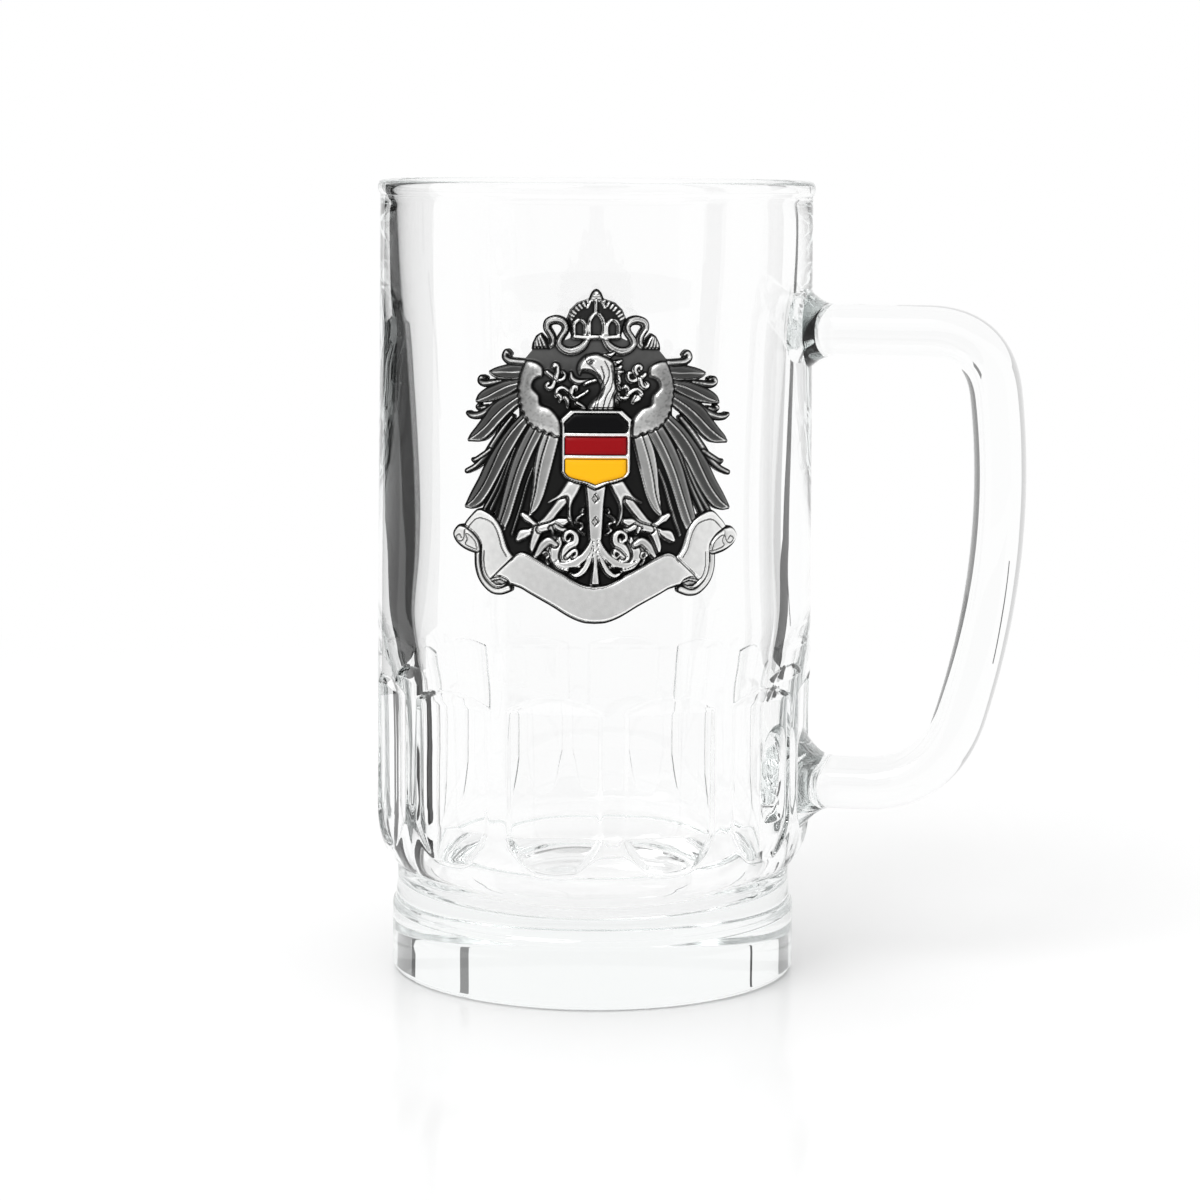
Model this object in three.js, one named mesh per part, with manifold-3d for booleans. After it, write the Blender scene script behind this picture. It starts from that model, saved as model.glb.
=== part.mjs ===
// Pressed-glass beer mug with a welded D handle and a cast pewter medallion with enamel fills.
// Millimetres, +Z up. The origin is the centre of the foot's underside, on the barrel's axis.
// The handle points along +X and the medallion faces the -Y side.
import * as THREE from 'three';
import { mergeVertices } from 'three/addons/utils/BufferGeometryUtils.js';
import Module from 'manifold-3d';

const wasm = await Module();
wasm.setup();

// Driving dimensions: glass body
const mugHeight = 148;
const barrelTopRadius = 40.0;
const barrelLowRadius = 40.9;
const rimBead = 0.45;
const rimBeadHeight = 2.8;
const rimWall = 2.2;
const middleWall = 6.8;
const middleHeight = 80;
const swellTop = 66;
const swellTopWall = 6.7;
const swellFoot = 43;
const bandWall = 8.45;
const wellWall = 8.7;
const floorThickness = 14;
const floorCorner = 10.5;
const footRadius = 38;
const footHeight = 12.6;
const footEdge = 1.4;
const ledgeRound = 0.9;
const ledgeStep = 0.5;
const neckHeight = 8;
const neckHollow = 0.35;
const shoulderHeight = 9.5;

// Driving dimensions: the band of panels
const panelCount = 12;
const landWidth = 4.2;
const panelFoot = 31.9;
const panelFlatHeight = 22.7;
const panelArchRise = 2.7;
const panelToeDrop = 4.3;
const cutterReach = 3;

// Driving dimensions: handle
const handleThickness = 9.5;
const handleWidth = 13.5;
const fingerGap = 29.8;
const upperBarDrop = 27;
const lowerBarHeight = 36.6;
const bowDrop = 28.5;
const bowRadius = 141;
const upperBend = 11.3;
const lowerBend = 13.8;
const upperWeldFlare = 2.2;
const lowerWeldFlare = 3.0;
const weldLength = 4.5;
const weldBury = 2.8;
const weldGap = 0.3;
const ovalFullness = 0.8;

// Driving dimensions: medallion, its pad and its enamel
const badgeAzimuth = -80;
const badgeDrop = 47.5;
const seatGap = 0.2;
const padThickness = 0.5;
const padHalfWidth = 14;
const padHalfHeight = 18.5;
const plateThickness = 1.0;
const plateMargin = 0.55;
const featherEdge = 1.15;
const featherRidge = 1.75;
const figureEdge = 1.5;
const figureHeight = 2.1;
const shieldHeight = 2.7;
const cellDepth = 0.8;
const enamelGap = 0.15;

// How finely round forms are cut
const turnSteps = 60;
const curveSteps = 4;
const handleRingPoints = 18;
const handleSteps = 36;
const gripSteps = 6;
const weldSteps = 5;
const bendStep = 4;
const shieldFootSteps = 5;
const archSteps = 4;
const padSteps = 24;

// Values that follow from the driving dimensions
const shoulderFoot = footHeight + neckHeight;
const shoulderTop = shoulderFoot + shoulderHeight;
const neckRadius = footRadius - ledgeStep;
const upperBarZ = mugHeight - upperBarDrop;
const bowZ = upperBarZ - bowDrop;
const bowReach = barrelLowRadius + fingerGap + handleThickness / 2;
const badgeZ = mugHeight - badgeDrop;
const plateBack = padThickness + 2 * seatGap;

// The barrel widens evenly from the rim down to the panel band
function barrelRadius(z) {
  const share = (mugHeight - z) / (mugHeight - panelFoot);
  return barrelTopRadius + (barrelLowRadius - barrelTopRadius) * Math.min(share, 1);
}

// A closed solid from a geometry: shared corners are merged and empty triangles are left out
function solidOf(geometry) {
  geometry.deleteAttribute('normal');
  geometry.deleteAttribute('uv');
  const merged = mergeVertices(geometry, 1e-4);
  const corners = merged.index.array;
  const kept = [];
  for (let i = 0; i < corners.length; i += 3) {
    const [a, b, c] = [corners[i], corners[i + 1], corners[i + 2]];
    if (a !== b && b !== c && c !== a) kept.push(a, b, c);
  }
  return new wasm.Manifold(new wasm.Mesh({
    numProp: 3,
    vertProperties: new Float32Array(merged.attributes.position.array),
    triVerts: new Uint32Array(kept),
  }));
}

function geometryOf(points, triangles) {
  const geometry = new THREE.BufferGeometry();
  geometry.setAttribute('position', new THREE.BufferAttribute(new Float32Array(points), 3));
  geometry.setIndex(Array.from(triangles));
  geometry.computeVertexNormals();
  return geometry;
}

function geometryOfSolid(solid) {
  const mesh = solid.getMesh();
  return geometryOf(mesh.vertProperties, mesh.triVerts);
}

function unionOf(solids) {
  return solids.reduce((sum, solid) => sum.add(solid));
}

// A loft through rings of points that all have the same count, closed with a fan at each end
function loftSolid(rings) {
  const count = rings[0].length;
  const points = rings.flat().flatMap((p) => [p.x, p.y, p.z]);
  const triangles = [];
  for (let r = 0; r + 1 < rings.length; r += 1) {
    for (let i = 0; i < count; i += 1) {
      const next = (i + 1) % count;
      const [a, b] = [r * count + i, r * count + next];
      triangles.push(a, b, b + count, a, b + count, a + count);
    }
  }
  const last = (rings.length - 1) * count;
  for (let i = 1; i + 1 < count; i += 1) {
    triangles.push(0, i + 1, i, last, last + i, last + i + 1);
  }
  return solidOf(geometryOf(points, triangles));
}

// A solid of revolution about Z from a path of radius and height
function turnedSolid(path) {
  const lathe = new THREE.LatheGeometry(path.getPoints(curveSteps), turnSteps);
  return solidOf(lathe.rotateX(Math.PI / 2));
}

// Outside of the glass from the foot up to the rim's crown, moved out by grow
function outsidePath(grow) {
  const foot = footRadius + grow;
  const neck = neckRadius + grow;
  const low = barrelLowRadius + grow;
  const top = barrelTopRadius + grow;
  const bead = top + rimBead;
  const beadFoot = mugHeight - rimBeadHeight;
  const path = new THREE.Path();
  path.moveTo(0, -grow);
  path.lineTo(foot - footEdge, -grow);
  path.quadraticCurveTo(foot, -grow, foot, footEdge);
  path.lineTo(foot, footHeight - ledgeRound);
  path.quadraticCurveTo(foot, footHeight, neck, footHeight + ledgeRound / 2);
  path.quadraticCurveTo(neck - 2 * neckHollow, footHeight + neckHeight / 2, neck - neckHollow, shoulderFoot);
  path.bezierCurveTo(neck + (low - neck) / 2, shoulderFoot + shoulderHeight / 8,
    low, shoulderFoot + shoulderHeight / 2, low, shoulderTop);
  path.lineTo(low, panelFoot);
  path.lineTo(top, beadFoot);
  path.quadraticCurveTo(bead, beadFoot + rimBeadHeight / 4, bead, beadFoot + rimBeadHeight / 2);
  path.quadraticCurveTo(bead, mugHeight + grow, bead - (rimWall + rimBead) / 2, mugHeight + grow);
  return path;
}

// Cutter of one flat panel with its sloped arch and toe, standing on the +X side
function panelCutter(grow) {
  const sectorWidth = 2 * Math.PI * barrelLowRadius / panelCount;
  const halfWidth = (sectorWidth - landWidth) / 2;
  const flat = Math.sqrt(barrelLowRadius ** 2 - halfWidth ** 2);
  const depth = barrelLowRadius - flat;
  const flatTop = panelFoot + panelFlatHeight;
  const face = flat + grow;
  const outline = new THREE.Shape();
  outline.moveTo(face, panelFoot);
  outline.lineTo(face + depth * cutterReach / 2, panelFoot - panelToeDrop * cutterReach);
  outline.lineTo(face + depth * cutterReach, panelFoot - panelToeDrop * cutterReach);
  outline.lineTo(face + depth * cutterReach, flatTop + panelArchRise * cutterReach);
  outline.lineTo(face, flatTop);
  const cutter = new THREE.ExtrudeGeometry(outline, { depth: sectorWidth, bevelEnabled: false });
  return cutter.translate(0, 0, -sectorWidth / 2).rotateX(Math.PI / 2);
}

// The outside form with its panels, still full inside; grow gives the same form with room around it
function outsideSolid(path, grow) {
  let solid = turnedSolid(path);
  for (let i = 0; i < panelCount; i += 1) {
    const cutter = panelCutter(grow).rotateZ(i * 2 * Math.PI / panelCount);
    solid = solid.subtract(solidOf(cutter));
  }
  return solid;
}

function fullOutside(grow) {
  const path = outsidePath(grow);
  path.lineTo(0, mugHeight + grow);
  return outsideSolid(path, grow);
}

// The wall thickens from the rim to the middle, and swells inwards again behind the panels
function glassBody() {
  const path = outsidePath(0);
  const mouth = barrelTopRadius - rimWall;
  const middle = barrelRadius(middleHeight) - middleWall;
  const well = barrelLowRadius - wellWall;
  const lip = (rimWall + rimBead) / 2;
  path.quadraticCurveTo(mouth, mugHeight, mouth, mugHeight - lip);
  path.quadraticCurveTo(middle + (mouth - middle) / 4, (mugHeight + middleHeight) / 2, middle, middleHeight);
  path.lineTo(barrelRadius(swellTop) - swellTopWall, swellTop);
  path.lineTo(barrelRadius(swellFoot) - bandWall, swellFoot);
  path.lineTo(well, floorThickness + floorCorner);
  path.quadraticCurveTo(well, floorThickness, well - floorCorner, floorThickness);
  path.lineTo(0, floorThickness);
  return geometryOfSolid(outsideSolid(path, 0));
}

// Centre line of the handle: bar, bend, bowed grip, bend, bar
function bowPoint(z) {
  return new THREE.Vector3(bowReach - (z - bowZ) ** 2 / (2 * bowRadius), 0, z);
}

// Each bar starts buried in the barrel, and the barrel's own form is cut from it afterwards
function weldStart(z) {
  return new THREE.Vector3(barrelRadius(z) - weldBury, 0, z);
}

function handleLine() {
  const gripTop = upperBarZ - upperBend;
  const gripLow = lowerBarHeight + lowerBend;
  const slope = (z) => -(z - bowZ) / bowRadius;
  const corner = (from, z) => new THREE.Vector3(bowPoint(from).x + slope(from) * (z - from), 0, z);
  const upperCorner = corner(gripTop, upperBarZ);
  const lowerCorner = corner(gripLow, lowerBarHeight);
  const upperEnd = upperCorner.clone().setX(upperCorner.x - upperBend);
  const lowerEnd = lowerCorner.clone().setX(lowerCorner.x - lowerBend);
  const grip = [];
  for (let i = 0; i <= gripSteps; i += 1) grip.push(bowPoint(gripTop + (gripLow - gripTop) * i / gripSteps));
  const line = new THREE.CurvePath();
  line.add(new THREE.LineCurve3(weldStart(upperBarZ), upperEnd));
  line.add(new THREE.QuadraticBezierCurve3(upperEnd, upperCorner, grip[0]));
  line.add(new THREE.CatmullRomCurve3(grip));
  line.add(new THREE.QuadraticBezierCurve3(grip[gripSteps], lowerCorner, lowerEnd));
  line.add(new THREE.LineCurve3(lowerEnd, weldStart(lowerBarHeight)));
  return line;
}

// Oval section of the handle, wider across than through, that flares towards both weld pads
function handleRing(centre, along, flare) {
  const out = new THREE.Vector3(along.z, 0, -along.x);
  const across = new THREE.Vector3(0, 1, 0);
  const ring = [];
  for (let i = 0; i < handleRingPoints; i += 1) {
    const turn = i * 2 * Math.PI / handleRingPoints;
    const round = (value) => Math.sign(value) * Math.abs(value) ** ovalFullness;
    const through = (handleThickness / 2 + flare) * round(Math.cos(turn));
    const side = (handleWidth / 2 + flare / 3) * round(Math.sin(turn));
    ring.push(centre.clone().addScaledVector(out, through).addScaledVector(across, side));
  }
  return ring;
}

function handle() {
  const line = handleLine();
  const length = line.getLength();
  const flareAt = (run, flare) => flare * THREE.MathUtils.clamp(1 - (run - weldBury) / weldLength, 0, 1) ** 2;
  const start = weldBury + weldLength;
  const endRuns = [0];
  for (let i = 0; i <= weldSteps; i += 1) {
    endRuns.push(weldBury / 2 + (start - weldBury / 2) * i / weldSteps);
  }
  const runs = [...endRuns];
  for (let i = 1; i < handleSteps; i += 1) runs.push(start + (length - 2 * start) * i / handleSteps);
  runs.push(...endRuns.map((run) => length - run).reverse());
  const rings = runs.map((run) => {
    const share = THREE.MathUtils.clamp(run / length, 0, 1);
    const flare = flareAt(run, upperWeldFlare) + flareAt(length - run, lowerWeldFlare);
    return handleRing(line.getPointAt(share), line.getTangentAt(share), flare);
  });
  return geometryOfSolid(loftSolid(rings).subtract(fullOutside(weldGap)));
}

// The medallion is drawn flat, u to the right, v up and w out of the plate, and bent to the barrel last.
// Left-hand figures are mirrored to the right.
const flatMirror = (line) => line.map(([u, v]) => [-u, v]);

function valueAlong(values, share) {
  const place = share * (values.length - 1);
  const index = Math.min(Math.floor(place), values.length - 2);
  return values[index] + (values[index + 1] - values[index]) * (place - index);
}

function smoothCurve(line) {
  return new THREE.SplineCurve(line.map(([u, v]) => new THREE.Vector2(u, v)));
}

// A raised rib along a smooth line: edge is the height of its sides and ridge the height of its spine
function ribSolid(line, widths, edge, ridge) {
  const steps = line.length + 1;
  const curve = smoothCurve(line);
  const rings = [];
  for (let i = 0; i <= steps; i += 1) {
    const share = i / steps;
    const centre = curve.getPoint(share);
    const along = curve.getTangent(share);
    const half = valueAlong(widths, share) / 2;
    const at = (side, w) => new THREE.Vector3(centre.x - along.y * side, centre.y + along.x * side, w);
    rings.push([at(half, 0), at(half, edge), at(0, ridge), at(-half, edge), at(-half, 0)]);
  }
  return loftSolid(rings);
}

function slabSolid(outline, low, high) {
  const shape = new THREE.Shape(outline.map(([u, v]) => new THREE.Vector2(u, v)));
  const slab = new THREE.ExtrudeGeometry(shape, { depth: high - low, bevelEnabled: false });
  return solidOf(slab.translate(0, 0, low));
}

// An outline moved inwards by a distance, each side parallel to itself; outlines run anticlockwise
function insetOutline(outline, distance) {
  const sides = outline.map(([u, v], i) => {
    const [nextU, nextV] = outline[(i + 1) % outline.length];
    const along = new THREE.Vector2(nextU - u, nextV - v).normalize();
    return { u: u - along.y * distance, v: v + along.x * distance, along };
  });
  return sides.map((side, i) => {
    const before = sides[(i + sides.length - 1) % sides.length];
    const turn = before.along.cross(side.along);
    if (Math.abs(turn) < 1e-6) return [side.u, side.v];
    const run = ((side.u - before.u) * side.along.y - (side.v - before.v) * side.along.x) / turn;
    return [before.u + before.along.x * run, before.v + before.along.y * run];
  });
}

// Wing: a thick shoulder, and long feathers from its outer side to a fan of tips
const shoulderLine = [[-10.6, 16.2], [-11.8, 12.4], [-10.8, 8.2], [-6.6, 5.0]];
const shoulderWidths = [3.2, 4.4, 4.2, 2.4];
const featherRoots = [[-12.2, 15.6], [-13.4, 10.6], [-11.0, 6.6], [-6.6, 4.4]];
const featherTips = [[-15.6, 18.0], [-20.2, 13.9], [-22.6, 8.6], [-23.5, 3.2], [-23.5, -2.6], [-23.0, -8.4],
  [-19.2, -11.6], [-16.0, -13.2], [-13.0, -13.4], [-10.6, -10.6], [-8.4, -7.6]];
const featherWidths = [1.6, 2.5, 1.9, 0.5];
const featherBow = 0.09;
const notchShare = 0.8;

function featherLines() {
  const roots = smoothCurve(featherRoots);
  return featherTips.map(([tipU, tipV], i) => {
    const root = roots.getPoint(i / (featherTips.length - 1));
    const [du, dv] = [tipU - root.x, tipV - root.y];
    const middle = [root.x + du / 2 + dv * featherBow, root.y + dv / 2 - du * featherBow];
    return [[root.x, root.y], middle, [tipU, tipV]];
  });
}

// Ribs of the left half: a line and the widths along it
const legRibs = [
  [[[-3.0, -4.4], [-4.6, -7.2], [-5.6, -9.0]], [3.4, 3.2, 1.8]],
  [[[-5.4, -8.6], [-7.2, -11.0], [-9.4, -13.0]], [1.9, 1.5, 1.7]],
  [[[-9.2, -12.8], [-10.8, -11.8], [-11.8, -10.4]], [1.5, 1.2, 0.6]],
  [[[-9.2, -12.8], [-11.4, -12.8], [-13.2, -14.2]], [1.5, 1.2, 0.6]],
  [[[-9.2, -12.8], [-9.8, -14.6], [-10.9, -16.4]], [1.5, 1.2, 0.6]],
  [[[-9.0, -12.6], [-7.0, -12.6], [-5.0, -11.6]], [1.4, 1.2, 0.6]],
];
const tailRibs = [
  [[[-0.3, -14.0], [-1.5, -18.4], [-4.0, -21.2]], [0.9, 1.3, 0.6]],
  [[[-1.6, -20.2], [-5.0, -19.0], [-5.8, -16.2], [-4.2, -14.6]], [0.8, 1.9, 1.6, 0.7]],
  [[[-4.0, -21.0], [-7.6, -19.6], [-9.2, -17.4], [-7.8, -16.0]], [0.8, 1.8, 1.4, 0.6]],
];
const crownRibs = [
  [[[-4.6, 23.2], [-3.8, 25.8], [-0.4, 27.2]], [1.0, 1.3, 1.1]],
  [[[-4.4, 23.4], [-6.9, 24.0], [-8.4, 22.2], [-7.7, 19.6]], [0.9, 1.2, 1.2, 0.9]],
  [[[-5.4, 23.4], [-5.9, 20.6], [-4.2, 18.6], [-1.4, 20.4]], [0.9, 1.1, 1.2, 0.8]],
  [[[-9.7, 20.8], [-9.0, 19.9], [-8.3, 19.0]], [1.5, 1.8, 1.5]],
];
const scrollRibs = [
  [[[-15.6, -20.4], [-17.9, -17.6], [-19.6, -13.6], [-21.6, -11.0]], [3.6, 4.4, 4.6, 2.6]],
  [[[-21.0, -10.4], [-24.2, -11.6], [-25.8, -13.6], [-23.0, -15.2]], [1.6, 2.4, 2.4, 1.8]],
];
const scrollBand = [[-15.4, -18.6], [-8.6, -22.4], [0, -25.6], [8.6, -22.4], [15.4, -18.6]];
const scrollWidths = [5.2, 6.2, 5.2];
const tailShaft = [[0, -5.0], [0, -12.0], [0, -22.0]];
const tailWidths = [3.0, 1.7, 2.0];
const finial = [[0, 26.6], [0, 28.0], [0, 29.0]];
const finialWidths = [1.3, 2.0, 0.9];
const headOutline = [[-1.3, 7.6], [3.6, 7.6], [3.9, 12.6], [3.5, 15.4], [2.2, 17.2], [-0.1, 18.0],
  [-2.2, 17.4], [-3.2, 16.0], [-2.9, 14.3], [-1.6, 14.6], [-0.3, 13.9], [-2.0, 12.3],
  [0.2, 12.4], [0.0, 10.2]];
const domeOutline = [[-4.0, 20.2], [4.0, 20.2], [5.0, 23.6], [3.6, 26.2], [0, 27.4],
  [-3.6, 26.2], [-5.0, 23.6]];
const fieldHalf = [[0, -25.6], [14.8, -18.6], [15.6, -16.6], [13.4, -11.0], [11.0, 0], [13.0, 8.0],
  [13.0, 16.2], [10.4, 19.0], [5.0, 21.0], [0, 21.0]];
const crownWindows = [[-2.65, 1.7], [0, 2.1], [2.65, 1.7]];
const windowFoot = 20.9;
const windowHeight = 2.6;

// Shield: clipped upper corners, straight sides and a pointed foot, with three cells between silver walls
const shieldHalfWidth = 5.8;
const shieldEar = 0.4;
const shieldTop = 8.3;
const shieldCorner = 1.6;
const shieldSideFoot = -2.6;
const shieldTip = -5.8;
const shieldFootFullness = [0.9, 0.72];
const shieldWall = 0.62;
const cellWall = 0.75;
const cellEdges = [3.95, 0.1];

function shieldOutline() {
  const ear = shieldHalfWidth + shieldEar;
  const cornerV = shieldTop - shieldCorner;
  const [footU, footV] = [shieldHalfWidth * shieldFootFullness[0], shieldTip * shieldFootFullness[1]];
  const foot = new THREE.QuadraticBezierCurve(new THREE.Vector2(shieldHalfWidth, shieldSideFoot),
    new THREE.Vector2(footU, footV), new THREE.Vector2(0, shieldTip));
  const right = foot.getPoints(shieldFootSteps).map((p) => [p.x, p.y]).reverse();
  right.push([shieldHalfWidth, cornerV - shieldCorner], [ear, cornerV], [ear - shieldCorner, shieldTop]);
  return [...right, ...flatMirror(right.slice(1)).reverse()];
}

// One cell of the shield, or its fill when gap is more than nothing
function cellSolid(index, gap, low, high) {
  const lowEdge = index < cellEdges.length ? cellEdges[index] + cellWall / 2 : shieldTip;
  const highEdge = index > 0 ? cellEdges[index - 1] - cellWall / 2 : shieldTop;
  const wide = 2 * shieldHalfWidth;
  const [foot, head] = [lowEdge + gap, highEdge - gap];
  const strip = [[-wide, foot], [wide, foot], [wide, head], [-wide, head]];
  const inside = slabSolid(insetOutline(shieldOutline(), shieldWall + gap), low, high);
  return inside.intersect(slabSolid(strip, low, high));
}

function windowOutline([centre, width]) {
  const half = width / 2;
  const spring = windowFoot + windowHeight - half;
  const outline = [[centre - half, windowFoot], [centre + half, windowFoot]];
  for (let i = 0; i <= archSteps; i += 1) {
    const turn = i * Math.PI / archSteps;
    outline.push([centre + half * Math.cos(turn), spring + half * Math.sin(turn)]);
  }
  return outline;
}

// The plate under one wing: a pointed tab past each feather's tip, with a notch between neighbours
function wingOutline() {
  const lines = featherLines().map(smoothCurve);
  const outline = [];
  lines.forEach((line, i) => {
    const tip = line.getPoint(1);
    const along = line.getTangent(1).multiplyScalar(plateMargin);
    outline.push([tip.x + along.x + along.y, tip.y + along.y - along.x]);
    outline.push([tip.x + along.x - along.y, tip.y + along.y + along.x]);
    if (i + 1 === lines.length) return;
    const notch = line.getPoint(notchShare).add(lines[i + 1].getPoint(notchShare)).multiplyScalar(0.5);
    outline.push([notch.x, notch.y]);
  });
  return [...outline, ...featherRoots.slice().reverse()];
}

const rib = (line, widths, edge, ridge) => ({ line, widths, edge, ridge });
const mirroredRib = (left) => ({ ...left, line: flatMirror(left.line) });

// Ribs that stand on the plate of the field and wings
function innerRibs() {
  const left = featherLines().map((line) => rib(line, featherWidths, featherEdge, featherRidge));
  left.push(rib(shoulderLine, shoulderWidths, featherRidge, figureHeight));
  [...legRibs, ...tailRibs].forEach(([line, widths]) => {
    left.push(rib(line, widths, figureEdge, figureHeight));
  });
  return [...left, ...left.map(mirroredRib), rib(tailShaft, tailWidths, figureEdge, figureHeight)];
}

// Ribs that reach past the field, each on a wider rib of plate of its own
function outerRibs() {
  const left = crownRibs.map(([line, widths]) => rib(line, widths, figureEdge, figureHeight));
  scrollRibs.forEach(([line, widths]) => left.push(rib(line, widths, featherRidge, featherRidge)));
  const band = rib(scrollBand, scrollWidths, figureHeight, figureHeight);
  return [...left, ...left.map(mirroredRib), band, rib(finial, finialWidths, figureEdge, figureHeight)];
}

function flatMedallion() {
  const wing = wingOutline();
  const solids = [
    slabSolid([...fieldHalf, ...flatMirror(fieldHalf).reverse()], 0, plateThickness),
    slabSolid(wing, 0, plateThickness),
    slabSolid(flatMirror(wing), 0, plateThickness),
    slabSolid(insetOutline(domeOutline, -plateMargin), 0, plateThickness),
    slabSolid(headOutline, 0, figureHeight),
    slabSolid(shieldOutline(), 0, shieldHeight),
  ];
  outerRibs().forEach(({ line, widths }) => {
    const plateWidths = widths.map((width) => width + 2 * plateMargin);
    solids.push(ribSolid(line, plateWidths, plateThickness, plateThickness));
  });
  [...innerRibs(), ...outerRibs()].forEach(({ line, widths, edge, ridge }) => {
    solids.push(ribSolid(line, widths, edge, ridge));
  });
  const windows = crownWindows.map((one) => slabSolid(windowOutline(one), plateThickness, figureHeight));
  solids.push(slabSolid(domeOutline, 0, featherRidge).subtract(unionOf(windows)));
  const cells = [0, 1, 2].map((i) => cellSolid(i, 0, shieldHeight - cellDepth, shieldHeight + cellDepth));
  return unionOf(solids).subtract(unionOf(cells));
}

// Splits every edge that spans more than bendStep across the bend, the same way in both of its triangles
function splitForBend(points, triangles) {
  const middles = new Map();
  const middleOf = (a, b) => {
    if (Math.abs(points[3 * a] - points[3 * b]) <= bendStep) return -1;
    const key = a < b ? `${a},${b}` : `${b},${a}`;
    if (!middles.has(key)) {
      middles.set(key, points.length / 3);
      for (let i = 0; i < 3; i += 1) points.push((points[3 * a + i] + points[3 * b + i]) / 2);
    }
    return middles.get(key);
  };
  const result = [];
  for (let i = 0; i < triangles.length; i += 3) {
    const [a, b, c] = [triangles[i], triangles[i + 1], triangles[i + 2]];
    const loop = [];
    [[a, b], [b, c], [c, a]].forEach(([from, to]) => {
      const middle = middleOf(from, to);
      loop.push(from);
      if (middle >= 0) loop.push(middle);
    });
    const first = Math.max(loop.findIndex((corner) => ![a, b, c].includes(corner)), 0);
    for (let k = 1; k + 1 < loop.length; k += 1) {
      const pick = (step) => loop[(first + step) % loop.length];
      result.push(pick(0), pick(k), pick(k + 1));
    }
  }
  return result;
}

// Bends a flat solid round the barrel, with its w = 0 side standing off the glass by lift
function bentGeometry(flat, lift) {
  const mesh = flat.getMesh();
  const points = Array.from(mesh.vertProperties);
  let triangles = Array.from(mesh.triVerts);
  for (let count = 0; count !== points.length;) {
    count = points.length;
    triangles = splitForBend(points, triangles);
  }
  for (let i = 0; i < points.length; i += 3) {
    const [u, v, w] = points.slice(i, i + 3);
    const z = badgeZ + v;
    const turn = THREE.MathUtils.degToRad(badgeAzimuth) + u / barrelLowRadius;
    const radius = barrelRadius(z) + lift + w;
    points[i] = radius * Math.cos(turn);
    points[i + 1] = radius * Math.sin(turn);
    points[i + 2] = z;
  }
  return geometryOf(points, triangles);
}

function adhesivePad() {
  const round = new THREE.EllipseCurve(0, 0, padHalfWidth, padHalfHeight);
  const outline = round.getPoints(padSteps).slice(0, -1).map((p) => [p.x, p.y]);
  return bentGeometry(slabSolid(outline, 0, padThickness), seatGap);
}

function enamel(index) {
  const low = shieldHeight - cellDepth + enamelGap;
  return bentGeometry(cellSolid(index, enamelGap, low, shieldHeight - enamelGap), plateBack);
}

function piece(name, geometry, colour, roughness, metalness, opacity = 1) {
  const material = new THREE.MeshStandardMaterial({ color: colour, roughness, metalness });
  material.opacity = opacity;
  material.transparent = opacity < 1;
  const mesh = new THREE.Mesh(geometry, material);
  mesh.name = name;
  return mesh;
}

const glassOpacity = 0.35;
const mug = new THREE.Group();
mug.add(piece('glass_body', glassBody(), 0xeef3f2, 0.02, 0, glassOpacity));
mug.add(piece('handle', handle(), 0xeef3f2, 0.02, 0, glassOpacity));
mug.add(piece('adhesive_pad', adhesivePad(), 0xd9d9d4, 0.7, 0));
mug.add(piece('medallion', bentGeometry(flatMedallion(), plateBack), 0x8f9092, 0.35, 0.9));
mug.add(piece('enamel_black', enamel(0), 0x0b0b0c, 0.15, 0));
mug.add(piece('enamel_red', enamel(1), 0xa8101c, 0.15, 0));
mug.add(piece('enamel_gold', enamel(2), 0xf2b01c, 0.15, 0));

export default mug;
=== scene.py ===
# Pressed-glass beer mug with a welded handle and an antiqued pewter medallion, in a white studio.
import math

import bpy
import numpy as np
from mathutils import Matrix, Vector


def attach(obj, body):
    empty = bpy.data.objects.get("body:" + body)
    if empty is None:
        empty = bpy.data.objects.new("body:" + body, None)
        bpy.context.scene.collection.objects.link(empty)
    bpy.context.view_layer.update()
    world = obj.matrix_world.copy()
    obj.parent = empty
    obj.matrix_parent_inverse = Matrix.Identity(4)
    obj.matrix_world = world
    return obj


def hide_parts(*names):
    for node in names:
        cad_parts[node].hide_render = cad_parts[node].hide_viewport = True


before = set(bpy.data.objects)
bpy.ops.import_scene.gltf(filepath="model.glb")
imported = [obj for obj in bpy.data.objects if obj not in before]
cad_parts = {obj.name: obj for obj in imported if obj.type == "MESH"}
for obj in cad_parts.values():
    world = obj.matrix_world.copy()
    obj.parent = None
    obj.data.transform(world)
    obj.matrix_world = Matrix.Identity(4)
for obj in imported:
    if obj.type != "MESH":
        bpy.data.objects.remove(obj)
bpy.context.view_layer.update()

MM = 0.001

# Glass body, millimetres
MUG_HEIGHT = 148.0
BARREL_TOP_RADIUS = 40.0
BARREL_LOW_RADIUS = 40.9
RIM_BEAD = 0.45
RIM_BEAD_HEIGHT = 2.8
RIM_WALL = 2.2
INSIDE = [
    (37.2, 142.0), (36.45, 127.0), (35.4, 114.0), (34.5, 100.0), (33.95, 88.0), (33.85, 78.0),
    (34.3, 68.0), (33.95, 61.0), (33.2, 54.0), (32.6, 47.0), (32.3, 40.0),
]
WELL_RADIUS = 32.2
FLOOR_THICKNESS = 14.0
FLOOR_CORNER = 10.5
FOOT_RADIUS = 38.0
FOOT_HEIGHT = 12.6
FOOT_EDGE = 1.4
LEDGE_ROUND = 0.9
LEDGE_STEP = 0.5
NECK_HEIGHT = 8.0
NECK_HOLLOW = 0.35
SHOULDER_HEIGHT = 9.5
TURN_STEPS = 720
RING_STEP = 0.35

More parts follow.
